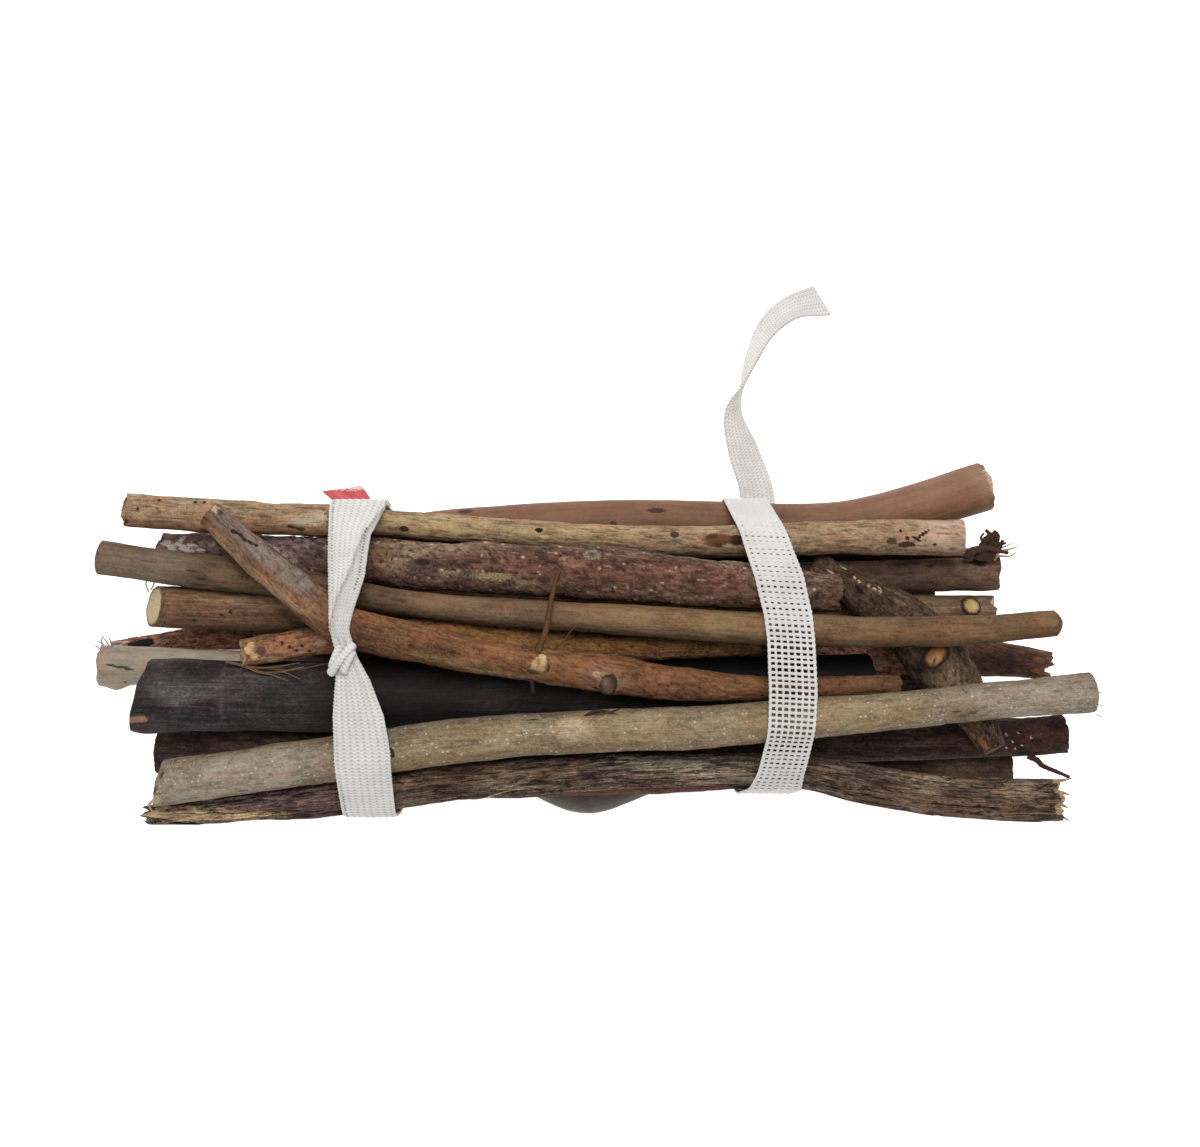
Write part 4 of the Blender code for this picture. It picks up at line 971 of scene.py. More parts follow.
def over_paint(layer, cover, colour):
    """Lays a colour over a layer of colours with their shares, in place."""
    share = cover[:, :, None]
    older = layer[:, :, 3:] * (1 - share)
    total = np.maximum(share + older, 1e-6)
    layer[:, :, :3] = (np.array(linear(colour)[:3]) * share + layer[:, :, :3] * older) / total
    layer[:, :, 3:] = share + older


def painted(line, shape, place, degrees, lift, hollow):
    """The paint, the washes and the bumps of a stick's marks: ovals on its surface."""
    tint, soft = np.zeros(place.shape[:2] + (4,)), np.zeros(place.shape[:2] + (4,))
    for spot in shape.spots:
        along, towards = seen(line, spot.u, spot.v)
        turn = (degrees - towards + 180) % 360 - 180
        aside = np.radians(turn)[None, :] * line.radius[:, None]
        ahead = line.along[:, None] - along
        lean = math.radians(spot.slant)
        first = ahead * math.cos(lean) + aside * math.sin(lean)
        second = aside * math.cos(lean) - ahead * math.sin(lean)
        distance = np.hypot(first / (spot.length / 2), second / (spot.width / 2))
        if spot.kind == "lump":
            lift = lift + spot.height * np.exp(-1.5 * distance**2)
        elif spot.kind == "wash":
            over_paint(soft, spot.strength * (1 - rise(distance, 0.4, 1.5)), spot.colour)
        elif spot.kind == "paint":
            over_paint(tint, spot.strength * (1 - rise(distance, 0.3, 1.55)), spot.colour)
            lift = lift + spot.height * np.exp(-1.5 * distance**2)
        else:
            over_paint(tint, spot.strength * (1 - rise(distance, 1.0, 1.35)), KNOT_RING)
            over_paint(tint, 1 - rise(distance, 0.62, 0.78), spot.colour)
            plateau = 1 - rise(distance, 0.95, 1.7)
            lift = lift * (1 - plateau) + spot.height * plateau
            lift = lift + 0.35 * np.exp(-((distance - 0.95) / 0.2) ** 2)
            hollow = hollow * (1 - plateau)
    return tint, soft, lift, hollow


def bark_object(name, points, faces, grain, tint, wash, hollow):
    """A mesh object with all that the bark materials read from its points."""
    return new_object(name, points.reshape(-1, 3), faces, [
        ("grain", grain), ("tint", tint), ("wash", wash), ("hollow", hollow)])


def with_share(colour, share, shape):
    """One colour, with its share of the cover, at every point of a grid."""
    plain = np.broadcast_to(linear(colour)[:3], shape + (3,))
    return np.concatenate([plain, np.full(shape + (1,), share)], axis=-1)


def end_face(end, way, rim, grain, ahead):
    """Rings of points from the rim of an end to its middle, and their grain."""
    middle = rim.mean(axis=0)
    faces, grains = [], []
    for ring in range(1, CAP_RINGS + 1):
        share = 1 - ring / CAP_RINGS
        bulge = way * end.dome * (1 - share**2)
        faces.append(middle + share * (rim - middle) + bulge * ahead)
        grains.append(grain * (1, share, share) + (way * bulge, 0, 0))
    order = slice(None, None, way)
    return np.array(faces)[order], np.array(grains)[order]


def round_stick(name, shape, step, sides):
    """A round stick: its bark, and at both ends a rim and a face of bare wood."""
    seed = sum(map(ord, name)) % 97
    line = spine(name, step)
    degrees = 360 * np.arange(sides) / sides
    place, lift, hollow = carved(line, shape, degrees, seed)
    tint, soft, lift, hollow = painted(line, shape, place, degrees, lift, hollow)
    reach = line.radius[:, None] + lift
    points = line.at[:, None] + reach[:, :, None] * spokes(np.radians(degrees), line.back, line.up)
    parts = [[points], [place], [tint], [soft], [hollow]]
    for end, row, way in zip(shape.ends, (0, -1), (-1, 1)):
        fade = rise(np.abs(line.along - line.along[row]), 12, 0)[:, None]
        shift = end_offsets(end, way, degrees, line.radius[row], seed + row) * fade
        points += shift[:, :, None] * line.ahead[:, None]
        face, grain = end_face(end, way, points[row], place[row], line.ahead[row])
        size = face.shape[:2]
        added = (face, grain, with_share(end.wood, 1, size), np.zeros(size + (4,)), np.zeros(size))
        for part, rows in zip(parts, added):
            part.insert(0 if way < 0 else len(part), rows)
    rows, *kept = (np.concatenate(part) for part in parts)
    return bark_object(name + "_bark", rows, grid_faces(len(rows), sides), *kept)


def rolled_bark(name, shape, step, sides):
    """A curl of bark: its outer face, its lips and its inner face, torn at both ends."""
    seed = sum(map(ord, name)) % 97
    line = spine(name, step, hollow=True)
    opening, half = shape.curl
    outer = np.linspace(opening + half, opening + 360 - half, sides)
    place, lift, hollow = carved(line, shape, outer, seed)
    tint, soft, lift, hollow = painted(line, shape, place, outer, lift, hollow)
    out = spokes(np.radians(outer), line.back, line.up)
    edge = np.minimum(np.arange(sides), np.arange(sides)[::-1])[None, :]
    lip = 0.55 * np.exp(-edge / 1.2)
    wall = shape.wall * (0.8 + 0.25 * noise(place / (9, 5, 5), seed + 3))
    reach = line.radius[:, None] + lift
    outside = line.at[:, None] + (reach - lip)[:, :, None] * out
    inside = line.at[:, None] + (reach - np.maximum(wall, THINNEST_BARK) + lip)[:, :, None] * out
    for end, row, way in zip(shape.ends, (0, -1), (-1, 1)):
        fade = rise(np.abs(line.along - line.along[row]), 25, 0)[:, None]
        shift = end_offsets(end, way, outer, line.radius[row], seed + row) * fade
        shift = shift[:, :, None] * line.ahead[:, None]
        outside, inside = outside + shift, inside + shift
    rows = np.concatenate([outside, inside[:, ::-1]], axis=1)
    columns = rows.shape[1]
    quads = grid_faces(len(rows), columns)
    for start in (0, (len(rows) - 1) * columns):
        for side in range(sides - 1):
            across = start + columns - 1 - side
            quad = (start + side, start + side + 1, across - 1, across)
            quads.append(quad if start == 0 else quad[::-1])
    pairs = ((place, place[:, ::-1] * 0.8), (tint, with_share(INNER_BARK, 0.5, inside.shape[:2])),
             (soft, 0 * soft), (hollow, 0 * hollow))
    kept = (np.concatenate(pair, axis=1) for pair in pairs)
    return bark_object(name + "_bark", rows, quads, *kept)


def sliver_mesh(name, slivers):
    """Thin tapered pieces of wood, each a tube with an uneven surface along its route."""
    rows, sides = 26, 7
    turn = 2 * math.pi * np.arange(sides) / sides
    points, grains, tints, faces = [], [], [], []
    for number, sliver in enumerate(slivers):
        route = np.array([at_height(*place) for place in sliver.route])
        path = smooth_through(route, np.linspace(0, len(route) - 1, rows))
        ahead, back, up = frames(path)
        radius = np.linspace(sliver.start, sliver.end, rows)[:, None] / 2
        around = spokes(turn, back, up)
        loose = 1 + 0.22 * noise(path[:, None] * 0.9 + around * 1.4, number)
        points.append(path[:, None] + (radius * loose)[:, :, None] * around)
        grains.append(points[-1] + 7.0 * number)
        tints.append(np.broadcast_to(linear(sliver.colour), points[-1].shape[:2] + (4,)))
        start = number * rows * sides
        faces += (np.array(grid_faces(rows, sides)) + start).tolist()
        faces.append(list(range(start + sides - 1, start - 1, -1)))
        faces.append(list(range(start + (rows - 1) * sides, start + rows * sides)))
    count = len(slivers) * rows * sides
    return bark_object(name + "_slivers", np.concatenate(points), faces, np.concatenate(grains),
                       np.concatenate(tints), np.zeros((count, 4)), np.zeros(count))


def make_sticks():
    """Every stick with its own bark, then the slivers that stand off some of them."""
    barks = {slot: bark(slot, look) for slot, look in LOOKS.items()}
    for name, shape in STICKS.items():
        fine = (HIDDEN_STEP, HIDDEN_SIDES) if name in INNER_STICKS else (STEP, SIDES)
        build = rolled_bark if shape.curl else round_stick
        hand_in(build(name, shape, *fine), SLOTS[name], barks[SLOTS[name]], name)
    for name, slivers in SLIVERS.items():
        hand_in(sliver_mesh(name, slivers), SLOTS[name], barks[SLOTS[name]])


# The elastic

CORE = np.array((-45.19, 33.0))  # y and z of the line that the bands go round
SHIFT = np.array((5.70, -45.19, 0))  # from where the routes were drawn to the frame
Band = namedtuple("Band", "node degrees middle width")
LEFT_BAND = Band("left_band", (0, 24, 36, 57, 75, 86, 99, 111, 127, 142, 172, 270),
                 (-78, -78.5, -79.7, -79.1, -79.6, -79.8, -77.5, -75.5, -74, -73, -72.5, -75),
                 (18, 17.8, 13.3, 11.2, 7.6, 5.8, 6.3, 10.7, 15.5, 17.3, 16.5, 18))
RIGHT_BAND = Band("right_band", (0, 13, 34, 55, 76, 90, 117, 135, 156, 166, 180, 270),
                  (48, 48.7, 52.3, 55.5, 58.3, 59, 59.2, 58.3, 56.4, 55.2, 54.5, 50.5),
                  (13.7, 13.7, 14.4, 15, 14.6, 14.6, 14.8, 14.2, 14.4, 16.5, 17, 16))
Loop = namedtuple("Loop", "degrees along middle width inner out")
BACK_KNOT = (54.7, -4.1, 7.3)
KNOTS = (  # name, middle, degrees round the bundle, size, its loops, how it leans
    ("top_knot", (-73.0, -51.8, 69.6), 96, (10.8, 7.0, 5.2),
     ((-0.62, -14, 0.8), (0.0, 4, 1.08), (0.66, -10, 0.85)), -56),
    ("back_knot", BACK_KNOT, -32, (11.0, 10.0, 6.5),
     ((-0.55, 10, 1.0), (0.05, -8, 1.1), (0.6, 4, 1.0)), -30),
)
ELASTIC = 1.0
KNIT_PITCH = 0.5  # between two rows of points of the closed knit
STITCH = 1.15  # between two stitches along the closed knit
RIBS = 8
WARPS, ROW = 8, 1.74  # the open mesh: threads along it, and between its rows
THREAD_SAG, THREAD_GREY = 0.12, 0.14
KNIT_COLUMNS = 61
PLEATS = ((-0.16, -0.05), (0.17, 0.1))  # where each starts across the band, and its drift
Fold = namedtuple("Fold", "here crease over")


def loop_of(band, pitch):
    """A band's inner face every pitch millimetres round the bundle, read from its node."""
    points, _ = mesh_of(band.node)
    faces = [tuple(f.vertices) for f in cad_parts[band.node].data.polygons]
    tree = BVHTree.FromPolygons(points.tolist(), faces)
    degrees = np.arange(0, 360, 0.5)
    middle = np.interp(degrees, band.degrees, band.middle, period=360) + SHIFT[0]
    way = np.column_stack([np.cos(np.radians(degrees)), np.sin(np.radians(degrees))])
    reach = np.array([tree.ray_cast((x, *CORE), (0, *w))[3] for x, w in zip(middle, way)])
    ring = CORE + reach[:, None] * way
    ring = np.concatenate([ring[-40:], ring, ring[:40]])
    ring = np.column_stack([np.convolve(c, np.ones(7) / 7, "same") for c in ring.T])[40:-40]
    length = np.append(0, np.cumsum(np.linalg.norm(ring - np.roll(ring, -1, axis=0), axis=1)))
    count = int(length[-1] / pitch)
    along = np.arange(count) * length[-1] / count
    turn = np.interp(along, length, np.append(degrees, 360))
    flat = np.column_stack([np.interp(turn, degrees, ring[:, k], period=360) for k in (0, 1)])
    ahead = unit(np.roll(flat, -1, axis=0) - np.roll(flat, 1, axis=0))
    out = np.column_stack([0 * turn, ahead[:, 1], -ahead[:, 0]])
    middle = np.interp(turn, degrees, middle, period=360)
    width = np.interp(turn, band.degrees, band.width, period=360)
    return Loop(turn, along, middle, width, np.column_stack([middle, flat]), out)


def knit(name, ribs=1.0):
    """White knitted elastic: V stitches on ribs, small dark holes and a soft fuzz.

    The kept vector weave counts ribs across and millimetres along. The kept value hole is the
    share of a small hole. The kept share of grey is painted shade beside the fold and in the
    pleats of the left band, and an even light grey on the threads of the right band.
    """
    n = Nodes(name)
    weave = n.kept("weave", "Vector")
    split = n.add("SeparateXYZ", weave)
    across, along = split, split.node.outputs[1]
    part = n.sum("ABSOLUTE", n.centred(n.sum("FRACT", across)))
    slant = n.more(n.sum("DIVIDE", along, STITCH), part, 1.1)
    stitch = n.sum("ABSOLUTE", n.sum("SINE", n.times(slant, math.pi)))
    rib = n.sum("SINE", n.times(n.sum("FRACT", across), math.pi))
    place = n.add("TexCoord", out=3)
    fuzz = n.clouds(place, 2600.0, detail=3.0, rough=0.7)
    broad = n.clouds(place, 90.0, detail=3.0)
    cloth = n.ramp(broad, [(0.3, (209, 206, 202)), (0.55, (220, 217, 214)), (0.8, (228, 226, 223))])
    # Painted shade: the valleys between stitches and between ribs are greyed.
    valley_shade = n.times(n.sum("SUBTRACT", 1.0, stitch), 0.5 * ribs)
    valley_shade = n.more(valley_shade, n.sum("SUBTRACT", 1.0, rib), 0.35 * ribs)
    valley_shade = n.step(valley_shade, 0.15, 1.0)
    cloth = n.blend(n.times(valley_shade, 0.8), cloth, linear((146, 140, 134)))
    # The kept share of grey: painted shade on the left band, and an even grey on the threads.
    cloth = n.blend(n.kept("grey_and_shade"), cloth, linear((158, 146, 132)))
    cloth = n.blend(n.kept("hole"), cloth, linear((44, 36, 32)))
    cloth = n.blend(n.times(n.step(fuzz, 0.3, 0.5), -0.12), cloth, linear((150, 146, 140)))
    height = n.sum("ADD", n.times(stitch, 0.6 * ribs), n.times(fuzz, 0.3))
    return n.wear({"Base Color": cloth, "Roughness": 0.92, "Specular IOR Level": 0.2,
                   "Sheen Weight": 0.25, "Sheen Roughness": 0.5}, height, 0.7, 0.35)


class Pile:
    """Several strands gathered into one mesh."""

    def __init__(self):
        self.points, self.faces, self.weave, self.hole, self.grey_and_shade = [], [], [], [], []
        self.count = 0

    def grid(self, rows, weave, hole=None, grey_and_shade=None, closed_along=False):
        """Adds a grid of points, its columns joined round and its rows joined end to end or capped."""
        count, sides = rows.shape[:2]
        faces = np.array(grid_faces(count, sides)).reshape(-1, 4)
        if closed_along:
            last, side = (count - 1) * sides, np.arange(sides)
            after = (side + 1) % sides
            faces = np.concatenate([faces, np.column_stack([last + side, last + after, after, side])])
        self.faces += [tuple(f) for f in (faces + self.count).tolist()]
        if not closed_along:
            self.faces.append(tuple(range(self.count + sides - 1, self.count - 1, -1)))
            self.faces.append(tuple(range(self.count + (count - 1) * sides, self.count + count * sides)))
        size = (count, sides)
        self.points.append(rows.reshape(-1, 3))
        self.weave.append(weave)
        self.hole.append(np.zeros(size) if hole is None else hole)
        self.grey_and_shade.append(np.zeros(size) if grey_and_shade is None else grey_and_shade)
        self.count += count * sides

    def strand(self, path, out, wide, thick, sides=6, closed=False, grey_and_shade=0.0, start=0.0):
        """Adds a flattened thread along a path, its flat side facing out."""
        path, out = np.asarray(path, float), np.asarray(out, float)
        ahead = np.gradient(path, axis=0)
        if closed:
            ahead = np.roll(path, -1, axis=0) - np.roll(path, 1, axis=0)
        ahead = unit(ahead)
        across = unit(np.cross(ahead, out))
        turn = 2 * math.pi * np.arange(sides) / sides
        wide = np.broadcast_to(wide, len(path))[:, None, None] / 2
        thick = np.broadcast_to(thick, len(path))[:, None, None] / 2
        rows = (path[:, None] + wide * np.cos(turn)[None, :, None] * across[:, None]
                + thick * np.sin(turn)[None, :, None] * np.cross(across, ahead)[:, None])
        weave = np.zeros(rows.shape)
        weave[..., 0] = 0.5 + 0.5 * np.cos(turn)[None, :] + start
        weave[..., 1] = lengths(path)[:, None]
        self.grid(rows, weave, grey_and_shade=np.full(rows.shape[:2], grey_and_shade), closed_along=closed)

    def object(self, name):
        """The mesh object of all that was added."""
        kept = (("weave", self.weave), ("hole", self.hole), ("grey_and_shade", self.grey_and_shade))
        return new_object(name, np.concatenate(self.points), self.faces, [
            (title, np.concatenate([part.ravel() for part in parts])) for title, parts in kept])


def add_warps(pile, loop, middle, places, closed):
    """Adds the threads that run round the bundle, wider where the rows cross them."""
    rows = len(loop.along)
    fine = np.arange(2 * rows) / 2
    out, beat = np.repeat(loop.out, 2, axis=0), np.cos(2 * math.pi * fine)
    for number, place in enumerate(places):
        line = middle.copy()
        line[:, 0] += place * loop.width
        twice = np.column_stack([np.interp(fine, np.arange(rows + 1), np.append(c, c[0])) for c in line.T])
        twice = twice + (THREAD_SAG * beat)[:, None] * out
        edge = number in (0, WARPS - 1)
        wide = (0.95 if edge else 0.82) + 0.18 * beat + 0.5 * np.repeat(closed, 2)
        pile.strand(twice, out, wide, 0.85, closed=True, grey_and_shade=THREAD_GREY, start=number)


def add_rows(pile, loop, middle, places, closed):
    """Adds the uneven threads across the band, which are bowed, and sag between the others."""
    across = np.linspace(places[0], places[-1], 3 * (WARPS - 1) + 1)
    sag = THREAD_SAG * np.cos(2 * math.pi * (across - places[0]) / (places[1] - places[0]))
    edge = rise(np.abs(across), 0.36, 0.44)
    for row, out in enumerate(loop.out):
        line = np.repeat(middle[row:row + 1], len(across), axis=0)
        line[:, 0] += across * loop.width[row]
        ahead = np.cross((1, 0, 0), out)
        bow = np.interp(across, (-0.5, 0.5), (-0.45, 0.45)) + 0.12 * math.sin(1.7 * row)
        line += sag[:, None] * out + bow[:, None] * ahead
        loose = 1 + 0.18 * noise(np.column_stack([across * 9, 0 * across + row * 0.9, 0 * across]), 0)
        aside = edge * (0.5 + 0.5 * math.cos(math.pi * row))
        wide = (0.88 + 0.8 * closed[row]) * loose * (1 - 0.4 * min(closed[row], 1) * aside)
        facing = np.repeat(out[None], len(line), axis=0)
        pile.strand(line, facing, wide, 0.62, sides=5, grey_and_shade=THREAD_GREY)


def open_mesh(loop):
    """The stretched band: threads along it, joined by rows of threads across.

    The rows get thicker, so that their holes close, where the band is hardly stretched.
    """
    places = np.linspace(-0.5, 0.5, WARPS) * (1 - 0.85 / 15)
    closed = np.interp(loop.degrees, (0, 24, 32, 60, 78, 90, 136, 150, 165, 180, 200, 330, 350),
                       (1.4, 1.3, 0.85, 0.75, 0.6, 0.12, 0.1, 0.5, 0.8, 0.9, 0.5, 0.5, 1.4), period=360)
    middle = loop.inner + 0.5 * ELASTIC * loop.out
    pile = Pile()
    add_warps(pile, loop, middle, places, closed)
    add_rows(pile, loop, middle, places, closed)
    return pile.object("right_band_mesh")


def on_loop(loop, x):
    """Points on a band's inner face, at rows of x."""
    return np.stack([x, *(np.broadcast_to(loop.inner[:, k, None], x.shape) for k in (1, 2))], axis=-1)


def fold_of(degrees, across):
    """Where the left band is folded, the place of the crease across it, and the part on top."""
    crease = np.interp(degrees, (20, 36, 57, 78, 90), (0.56, 0.36, 0.08, -0.3, -0.6))
    here = (degrees > 12) & (degrees < 90)
    return Fold(here, crease, np.where(here, 1 - rise(across, crease - 0.02, crease + 0.03), 0.0))


def pleats_of(degrees, across):
    """The nearness of the knot, and the pleats that run out of it."""
    near = np.where((degrees > 90) & (degrees < 175), np.exp(-np.clip(degrees - 98, 0, None) / 15), 0)
    return near, sum(np.exp(-((across - start - drift * (degrees - 90) / 40) / 0.055) ** 2)
                     for start, drift in PLEATS)


def knit_lift(width, across, fold, near, pleats):
    """How far the closed knit's outer face stands off the bundle."""
    gathered = 1 - np.clip((width - 5) / 13, 0, 1)
    rib = np.abs(np.cos(math.pi * (across + 0.5) * RIBS))
    lift = ELASTIC * (0.75 + 0.5 * np.minimum(np.minimum(across + 0.5, 0.5 - across) * 9, 0.5))
    lift = lift + 0.19 * (1 - rib) * (1 + gathered) * np.where(fold.here, fold.over, 1)
    lift = lift + fold.over * 0.9 + gathered * 1.3 * np.cos(math.pi * across) ** 2
    rolled = np.where(fold.here, np.exp(-((across - fold.crease) / 0.05) ** 2), 0)
    return lift + 0.5 * rolled - 0.75 * near * pleats


def knit_holes(degrees, along, width, across, fold):
    """The small dark holes between stitches: a row near the left edge, and one on the fold."""
    left = np.exp(-(((across + 0.5) * width - 1.3) / 0.3) ** 2)
    right = np.exp(-(((0.5 - across) * width - 1.6) / 0.35) ** 2)
    right = right * (fold.here & (degrees > 34) & (degrees < 66))
    shown = np.interp(degrees, (15, 25, 85, 100, 150, 160, 185, 360), (0.8, 1, 0.3, 0, 0.2, 1, 1, 0.6))
    beat = 0.5 + 0.5 * np.cos(2 * math.pi * along / STITCH)
    return np.maximum(left * shown, right) * rise(beat, 0.45, 0.8)


def closed_knit(loop):
    """The left band: a ribbed strip, gathered at its knot and folded over behind it.

    Across, ribs are rounded; along, the edges are scalloped at each stitch. Left of the crease
    of the fold the cloth lies one thickness higher. Two pleats run out of the knot and fade.
    """
    across = np.linspace(-0.5, 0.5, KNIT_COLUMNS)[None, :]
    below = across[:, ::-6]
    degrees, along, width = (values[:, None] for values in (loop.degrees, loop.along, loop.width))
    fold = fold_of(degrees, across)
    near, pleats = pleats_of(degrees, across)
    side = np.where(np.abs(across) > 0.49, np.sign(across), 0)
    x = loop.middle[:, None] + across * width + 0.26 * side * np.cos(2 * math.pi * along / STITCH)
    lift = knit_lift(width, across, fold, near, pleats)
    top = on_loop(loop, x) + lift[:, :, None] * loop.out[:, None]
    under = on_loop(loop, loop.middle[:, None] + below * width * 0.99) + 0.05 * loop.out[:, None]
    sheet = np.concatenate([top, under], axis=1)
    counted = np.zeros(sheet.shape)
    counted[..., 0] = RIBS * (np.concatenate([across, below], axis=1) + 0.5) + 0.5
    counted[..., 1] = along
    # Painted shade: grey beside the crease of the fold, and along the pleats below the knot.
    shade = (0.2 + 0.4 * np.exp(-np.maximum(across - fold.crease, 0) / 0.1)) * (1 - fold.over)
    shade = np.where(fold.here, shade, 0) + 0.45 * near * pleats
    bare = np.zeros(under.shape[:2])
    hole = np.concatenate([knit_holes(degrees, along, width, across, fold), bare], axis=1)
    pile = Pile()
    pile.grid(sheet, counted, hole, np.concatenate([shade, bare], axis=1), closed_along=True)
    return pile.object("left_band_knit")


def wraps(name, middle, degrees, size, turns, lean):
    """A knot: folded elastic wound round itself, as fat ribbed loops that cross a lump."""
    middle = np.array(middle)
    angle = math.radians(degrees)
    out = np.array((0, math.cos(angle), math.sin(angle)))
    ahead = np.cross((1, 0, 0), out)
    along, long, high = size
    pile = Pile()
    t = np.linspace(0, 2 * math.pi, 49)[:-1]
    for place, tilt, scale in turns:
        tilted = math.radians(lean + tilt)
        way = math.cos(tilted) * RIGHTWARD + math.sin(tilted) * ahead
        other = -math.sin(tilted) * RIGHTWARD + math.cos(tilted) * ahead
        spread = math.sqrt(max(0.15, 1 - place**2)) * scale
        path = (middle + place * other * long * 0.42
                + np.cos(t)[:, None] * way * along * 0.45 * spread
                + np.sin(t)[:, None] * out * high * 0.34 * spread)
        face = np.cos(t)[:, None] * way + np.sin(t)[:, None] * out
        pile.strand(path, face, 0.38 * long, 1.9, sides=14, closed=True, start=2 * place)
    return pile.object(name)


TAIL_ROUTE = [(56.5, 60, 9, 40), (52.3, 78, 8, 43), (49.3, 90, 9, 58), (51, 99, 9.4, 86),
              (54.3, 109, 9.2, 101), (58.2, 119, 8.4, 112), (63.8, 127.8, 7, 126),
              (71.5, 134.2, 6, 138), (82.5, 137.8, 5, 152)]
TAIL_WIDTH = 18.0


def smooth_through(rows, at):
    """Values of a smooth curve through rows that stand at 0, 1, 2 and so on."""
    rows = np.asarray(rows, float)
    slopes = np.gradient(rows, axis=0)
    part = np.clip(at.astype(int), 0, len(rows) - 2)
    t = (at - part)[:, None]
    return ((1 + 2 * t) * (1 - t) ** 2 * rows[part] + t * (1 - t) ** 2 * slopes[part]
            + t * t * (3 - 2 * t) * rows[part + 1] - t * t * (1 - t) * slopes[part + 1])


def loose_end(start):
    """The loose end of the right band: a ribbed strip that turns over as it runs."""
    route = np.array([(*(np.array(start) - SHIFT), 40)] + TAIL_ROUTE, float)
    at = np.linspace(0, len(route) - 1, 150)
    route = smooth_through(route, at)
    route[:, :3] += SHIFT
    ahead, _, _ = frames(route[:, :3])
    level = unit(np.cross((0, 0, 1), ahead))
    lean = np.radians(route[:, 3])[:, None]
    wide = np.cos(lean) * level + np.sin(lean) * np.array((0, 0, 1))
    out = np.cross(ahead, wide)
    lowest = np.abs(wide[:, 2]) * TAIL_WIDTH / 2 + np.abs(out[:, 2]) * ELASTIC / 2 + 0.1
    route[:, 2] = np.where(at < 1, np.maximum(route[:, 2], lowest), lowest)
    length = lengths(route[:, :3])
    columns = 49
    turn = 2 * math.pi * np.arange(2 * columns) / (2 * columns)
    across = np.cos(turn)[None, :]
    flat = np.clip(np.sin(turn)[None, :] * 4, -1, 1)
    rib = 0.1 * np.abs(np.sin(math.pi * (across + 1) / 2 * RIBS))
    edge = 0.12 * np.where(np.abs(across) > 0.97, np.sign(across), 0)
    edge = edge * np.cos(2 * math.pi * length[:, None] / STITCH)
    half = TAIL_WIDTH / 2 * across + edge
    thick = flat * (ELASTIC / 2 - 0.1 + rib)
    rows = (route[:, None, :3] + half[:, :, None] * wide[:, None] + thick[:, :, None] * out[:, None])
    weave = np.zeros(rows.shape)
    weave[..., 0] = (across + 1) / 2 * RIBS
    weave[..., 1] = length[:, None]
    pile = Pile()
    pile.grid(rows, weave)
    return pile.object("loose_end"), length[-1]


def make_elastic():
    """Both bands, their knots and the loose end, in white knitted elastic."""
    ribbed, threads = knit("ribbed_elastic"), knit("elastic_threads", ribs=0.35)
    loop = loop_of(LEFT_BAND, KNIT_PITCH)
    left = hand_in(closed_knit(loop), "white_elastic", ribbed, "left_band")
    loop = loop_of(RIGHT_BAND, ROW)
    right = hand_in(open_mesh(loop), "white_elastic", threads, "right_band")
    for knot in KNOTS:
        hand_in(wraps(*knot), "white_elastic", ribbed)
    tail, tail_length = loose_end(BACK_KNOT)
    hand_in(tail, "white_elastic", ribbed)


def card():
    """Faded red card, paler and scuffed along its free edge."""
    n = Nodes("faded_red_card")
    place = n.kept("weave", "Vector")
    split = n.add("SeparateXYZ", place)
    fine = n.clouds(place, 1.6, detail=6.0, rough=0.7)
    wide = n.clouds(place, 0.35, detail=4.0)
    tone = n.ramp(wide, [(0.3, (186, 70, 72)), (0.5, (204, 86, 88)), (0.75, (212, 108, 108))])
    edge = n.step(split.node.outputs[1], 9.4, 12.0)
    worn = n.step(n.sum("ADD", n.times(edge, 0.35), fine), 0.62, 0.74)
    tone = n.blend(n.times(worn, 0.8), tone, linear((240, 214, 208)))
    return n.wear({"Base Color": tone, "Roughness": 0.6}, fine, 0.3, 0.2)


TAG_WIDE, TAG_TUCKED = 13.0, 7.0  # millimetres; the tucked part stands up behind the band
TAG_TOP = 46.3  # the height at which it bends
TAG_HALF_THICK = 0.2


def make_tag():
    """The slip of card: bent where it leaves the band, its free edge slanting and off to one side."""
    low, high = (np.array(corner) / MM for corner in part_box("red_tag"))
    across = np.linspace(0, 1, 27)[None, :]
    share = np.linspace(0, 1, 40)[:, None]
    along = share * (10.1 + 2.1 * across)
    flap = np.clip(along - TAG_TUCKED, 0, None)
    bend = rise(along, TAG_TUCKED - 1, TAG_TUCKED + 1)
    x = high[0] - TAG_WIDE + TAG_WIDE * across - 3.5 * flap / (3.1 + 2.1 * across)
    y = low[1] + 0.3 + flap * 0.94
    z = TAG_TOP - TAG_TUCKED + np.minimum(along, TAG_TUCKED) + flap * 0.33
    z = z + 0.25 * bend * np.sin(5 * across + 1)
    x, y, z = np.broadcast_arrays(x, y, z)
    middle = np.stack([x, y, z], axis=-1)
    slope = np.gradient(middle, axis=0)
    side = unit(np.cross(slope, (1.0, 0, 0)))
    side = TAG_HALF_THICK * side
    weave = np.stack([TAG_WIDE * across + 0 * along, along + 0 * across, 0 * along * across], axis=-1)
    rows = np.concatenate([middle + side, (middle - side)[:, ::-1]], axis=1)
    pile = Pile()
    pile.grid(rows, np.concatenate([weave, weave[:, ::-1]], axis=1))
    hand_in(pile.object("red_tag_card"), "red_card", card(), "red_tag")


# Camera, light and floor

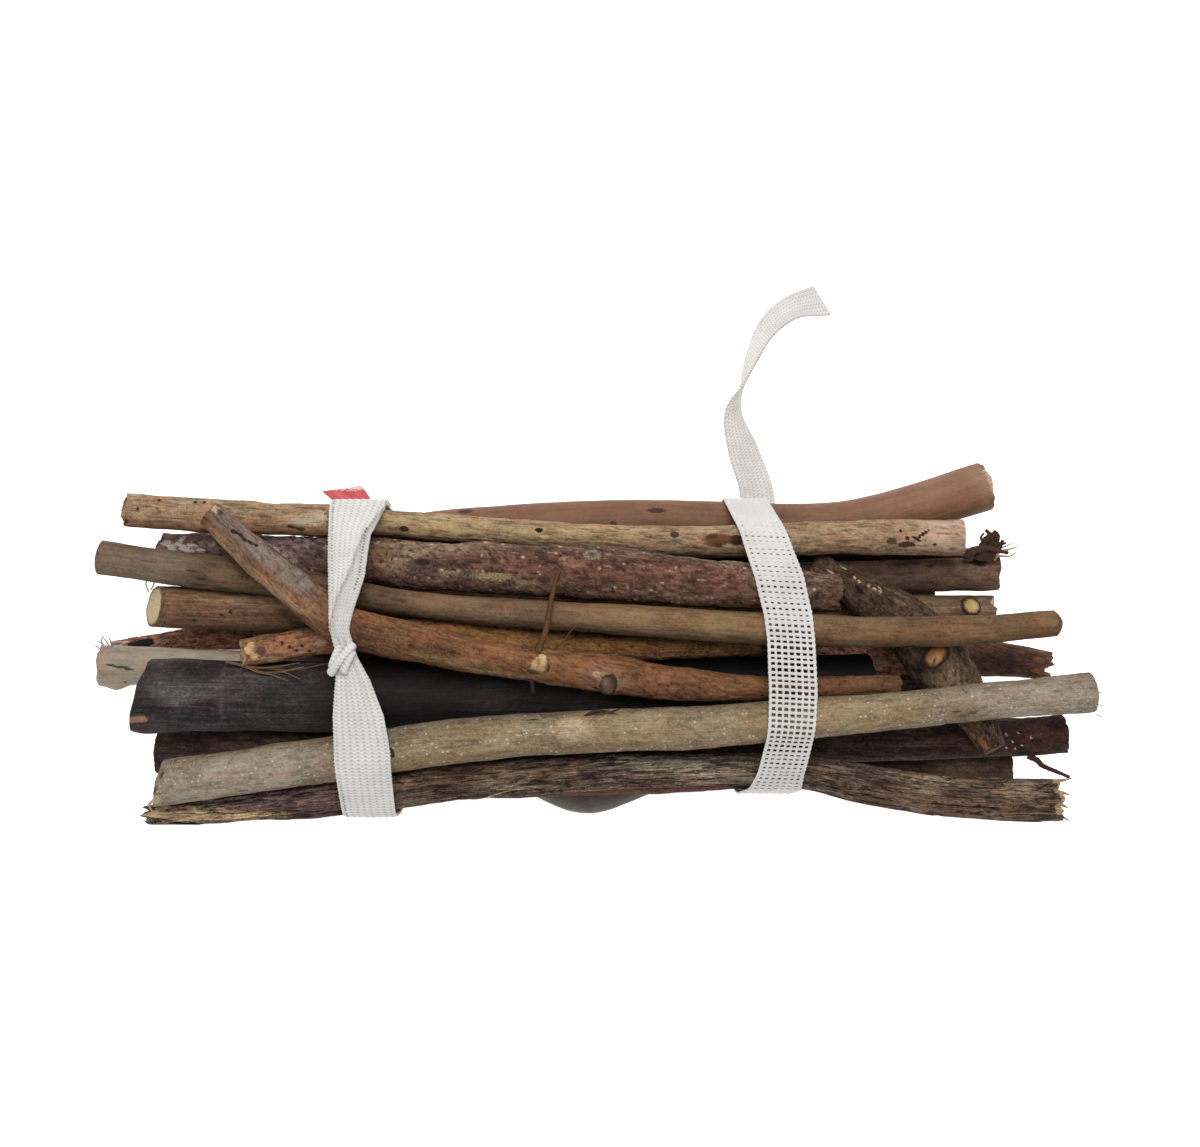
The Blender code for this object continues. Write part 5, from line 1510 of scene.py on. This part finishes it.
LIGHTS = (("over", (0.05, 0.28, 1.05), 9.0, 0.7), ("front", (-0.5, -0.9, 0.7), 1.2, 0.8))
SKY_STRENGTH = 0.42
SENSOR = 36.0
FLOOR_REACH, FLOOR_AT = 3000, -0.2


def set_camera():
    """The camera of the picture: high over the front of the bundle, looking down."""
    data = bpy.data.cameras.new("camera")
    data.sensor_width, data.lens = SENSOR, SENSOR * FOCAL / PICTURE[0]
    data.clip_start, data.clip_end = 0.01, 20.0
    made = bpy.data.objects.new("camera", data)
    made.location = Vector(CAMERA_AT) * MM
    made.rotation_euler = (math.pi / 2 - ELEVATION, 0, 0)
    bpy.context.scene.collection.objects.link(made)
    bpy.context.scene.camera = made


def set_light():
    """A wide soft light over the bundle, a weaker one in front, and a bright sky."""
    for name, at, power, size in LIGHTS:
        data = bpy.data.lights.new(name, "AREA")
        data.energy, data.size = power, size
        made = bpy.data.objects.new(name, data)
        made.location = at
        made.rotation_euler = (-Vector(at)).to_track_quat("-Z", "Y").to_euler()
        bpy.context.scene.collection.objects.link(made)
    world = bpy.data.worlds.new("sky")
    world.use_nodes = True
    sky = world.node_tree.nodes["Background"]
    sky.inputs["Color"].default_value = (1, 1, 1, 1)
    sky.inputs["Strength"].default_value = SKY_STRENGTH
    bpy.context.scene.world = world
    bpy.context.scene.view_settings.view_transform = "Standard"


def lay_floor():
    """A large pale floor."""
    n = Nodes("pale_floor")
    specks = n.clouds(n.add("TexCoord", out=3), 40.0, detail=3.0)
    tone = n.ramp(specks, [(0.3, (248, 248, 248)), (0.7, (252, 252, 252))])
    n.fill(n.shader, {"Base Color": tone, "Roughness": 0.9, "Emission Color": (1, 1, 1, 1),
                      "Emission Strength": 0.75})
    signs = ((-1, -1), (1, -1), (1, 1), (-1, 1))
    corners = [(x * FLOOR_REACH, y * FLOOR_REACH, FLOOR_AT) for x, y in signs]
    made = new_object("floor", corners, [(0, 1, 2, 3)], boxed=False)
    made.data.materials.append(n.material)


set_camera()
set_light()
lay_floor()
make_sticks()
make_elastic()
make_tag()
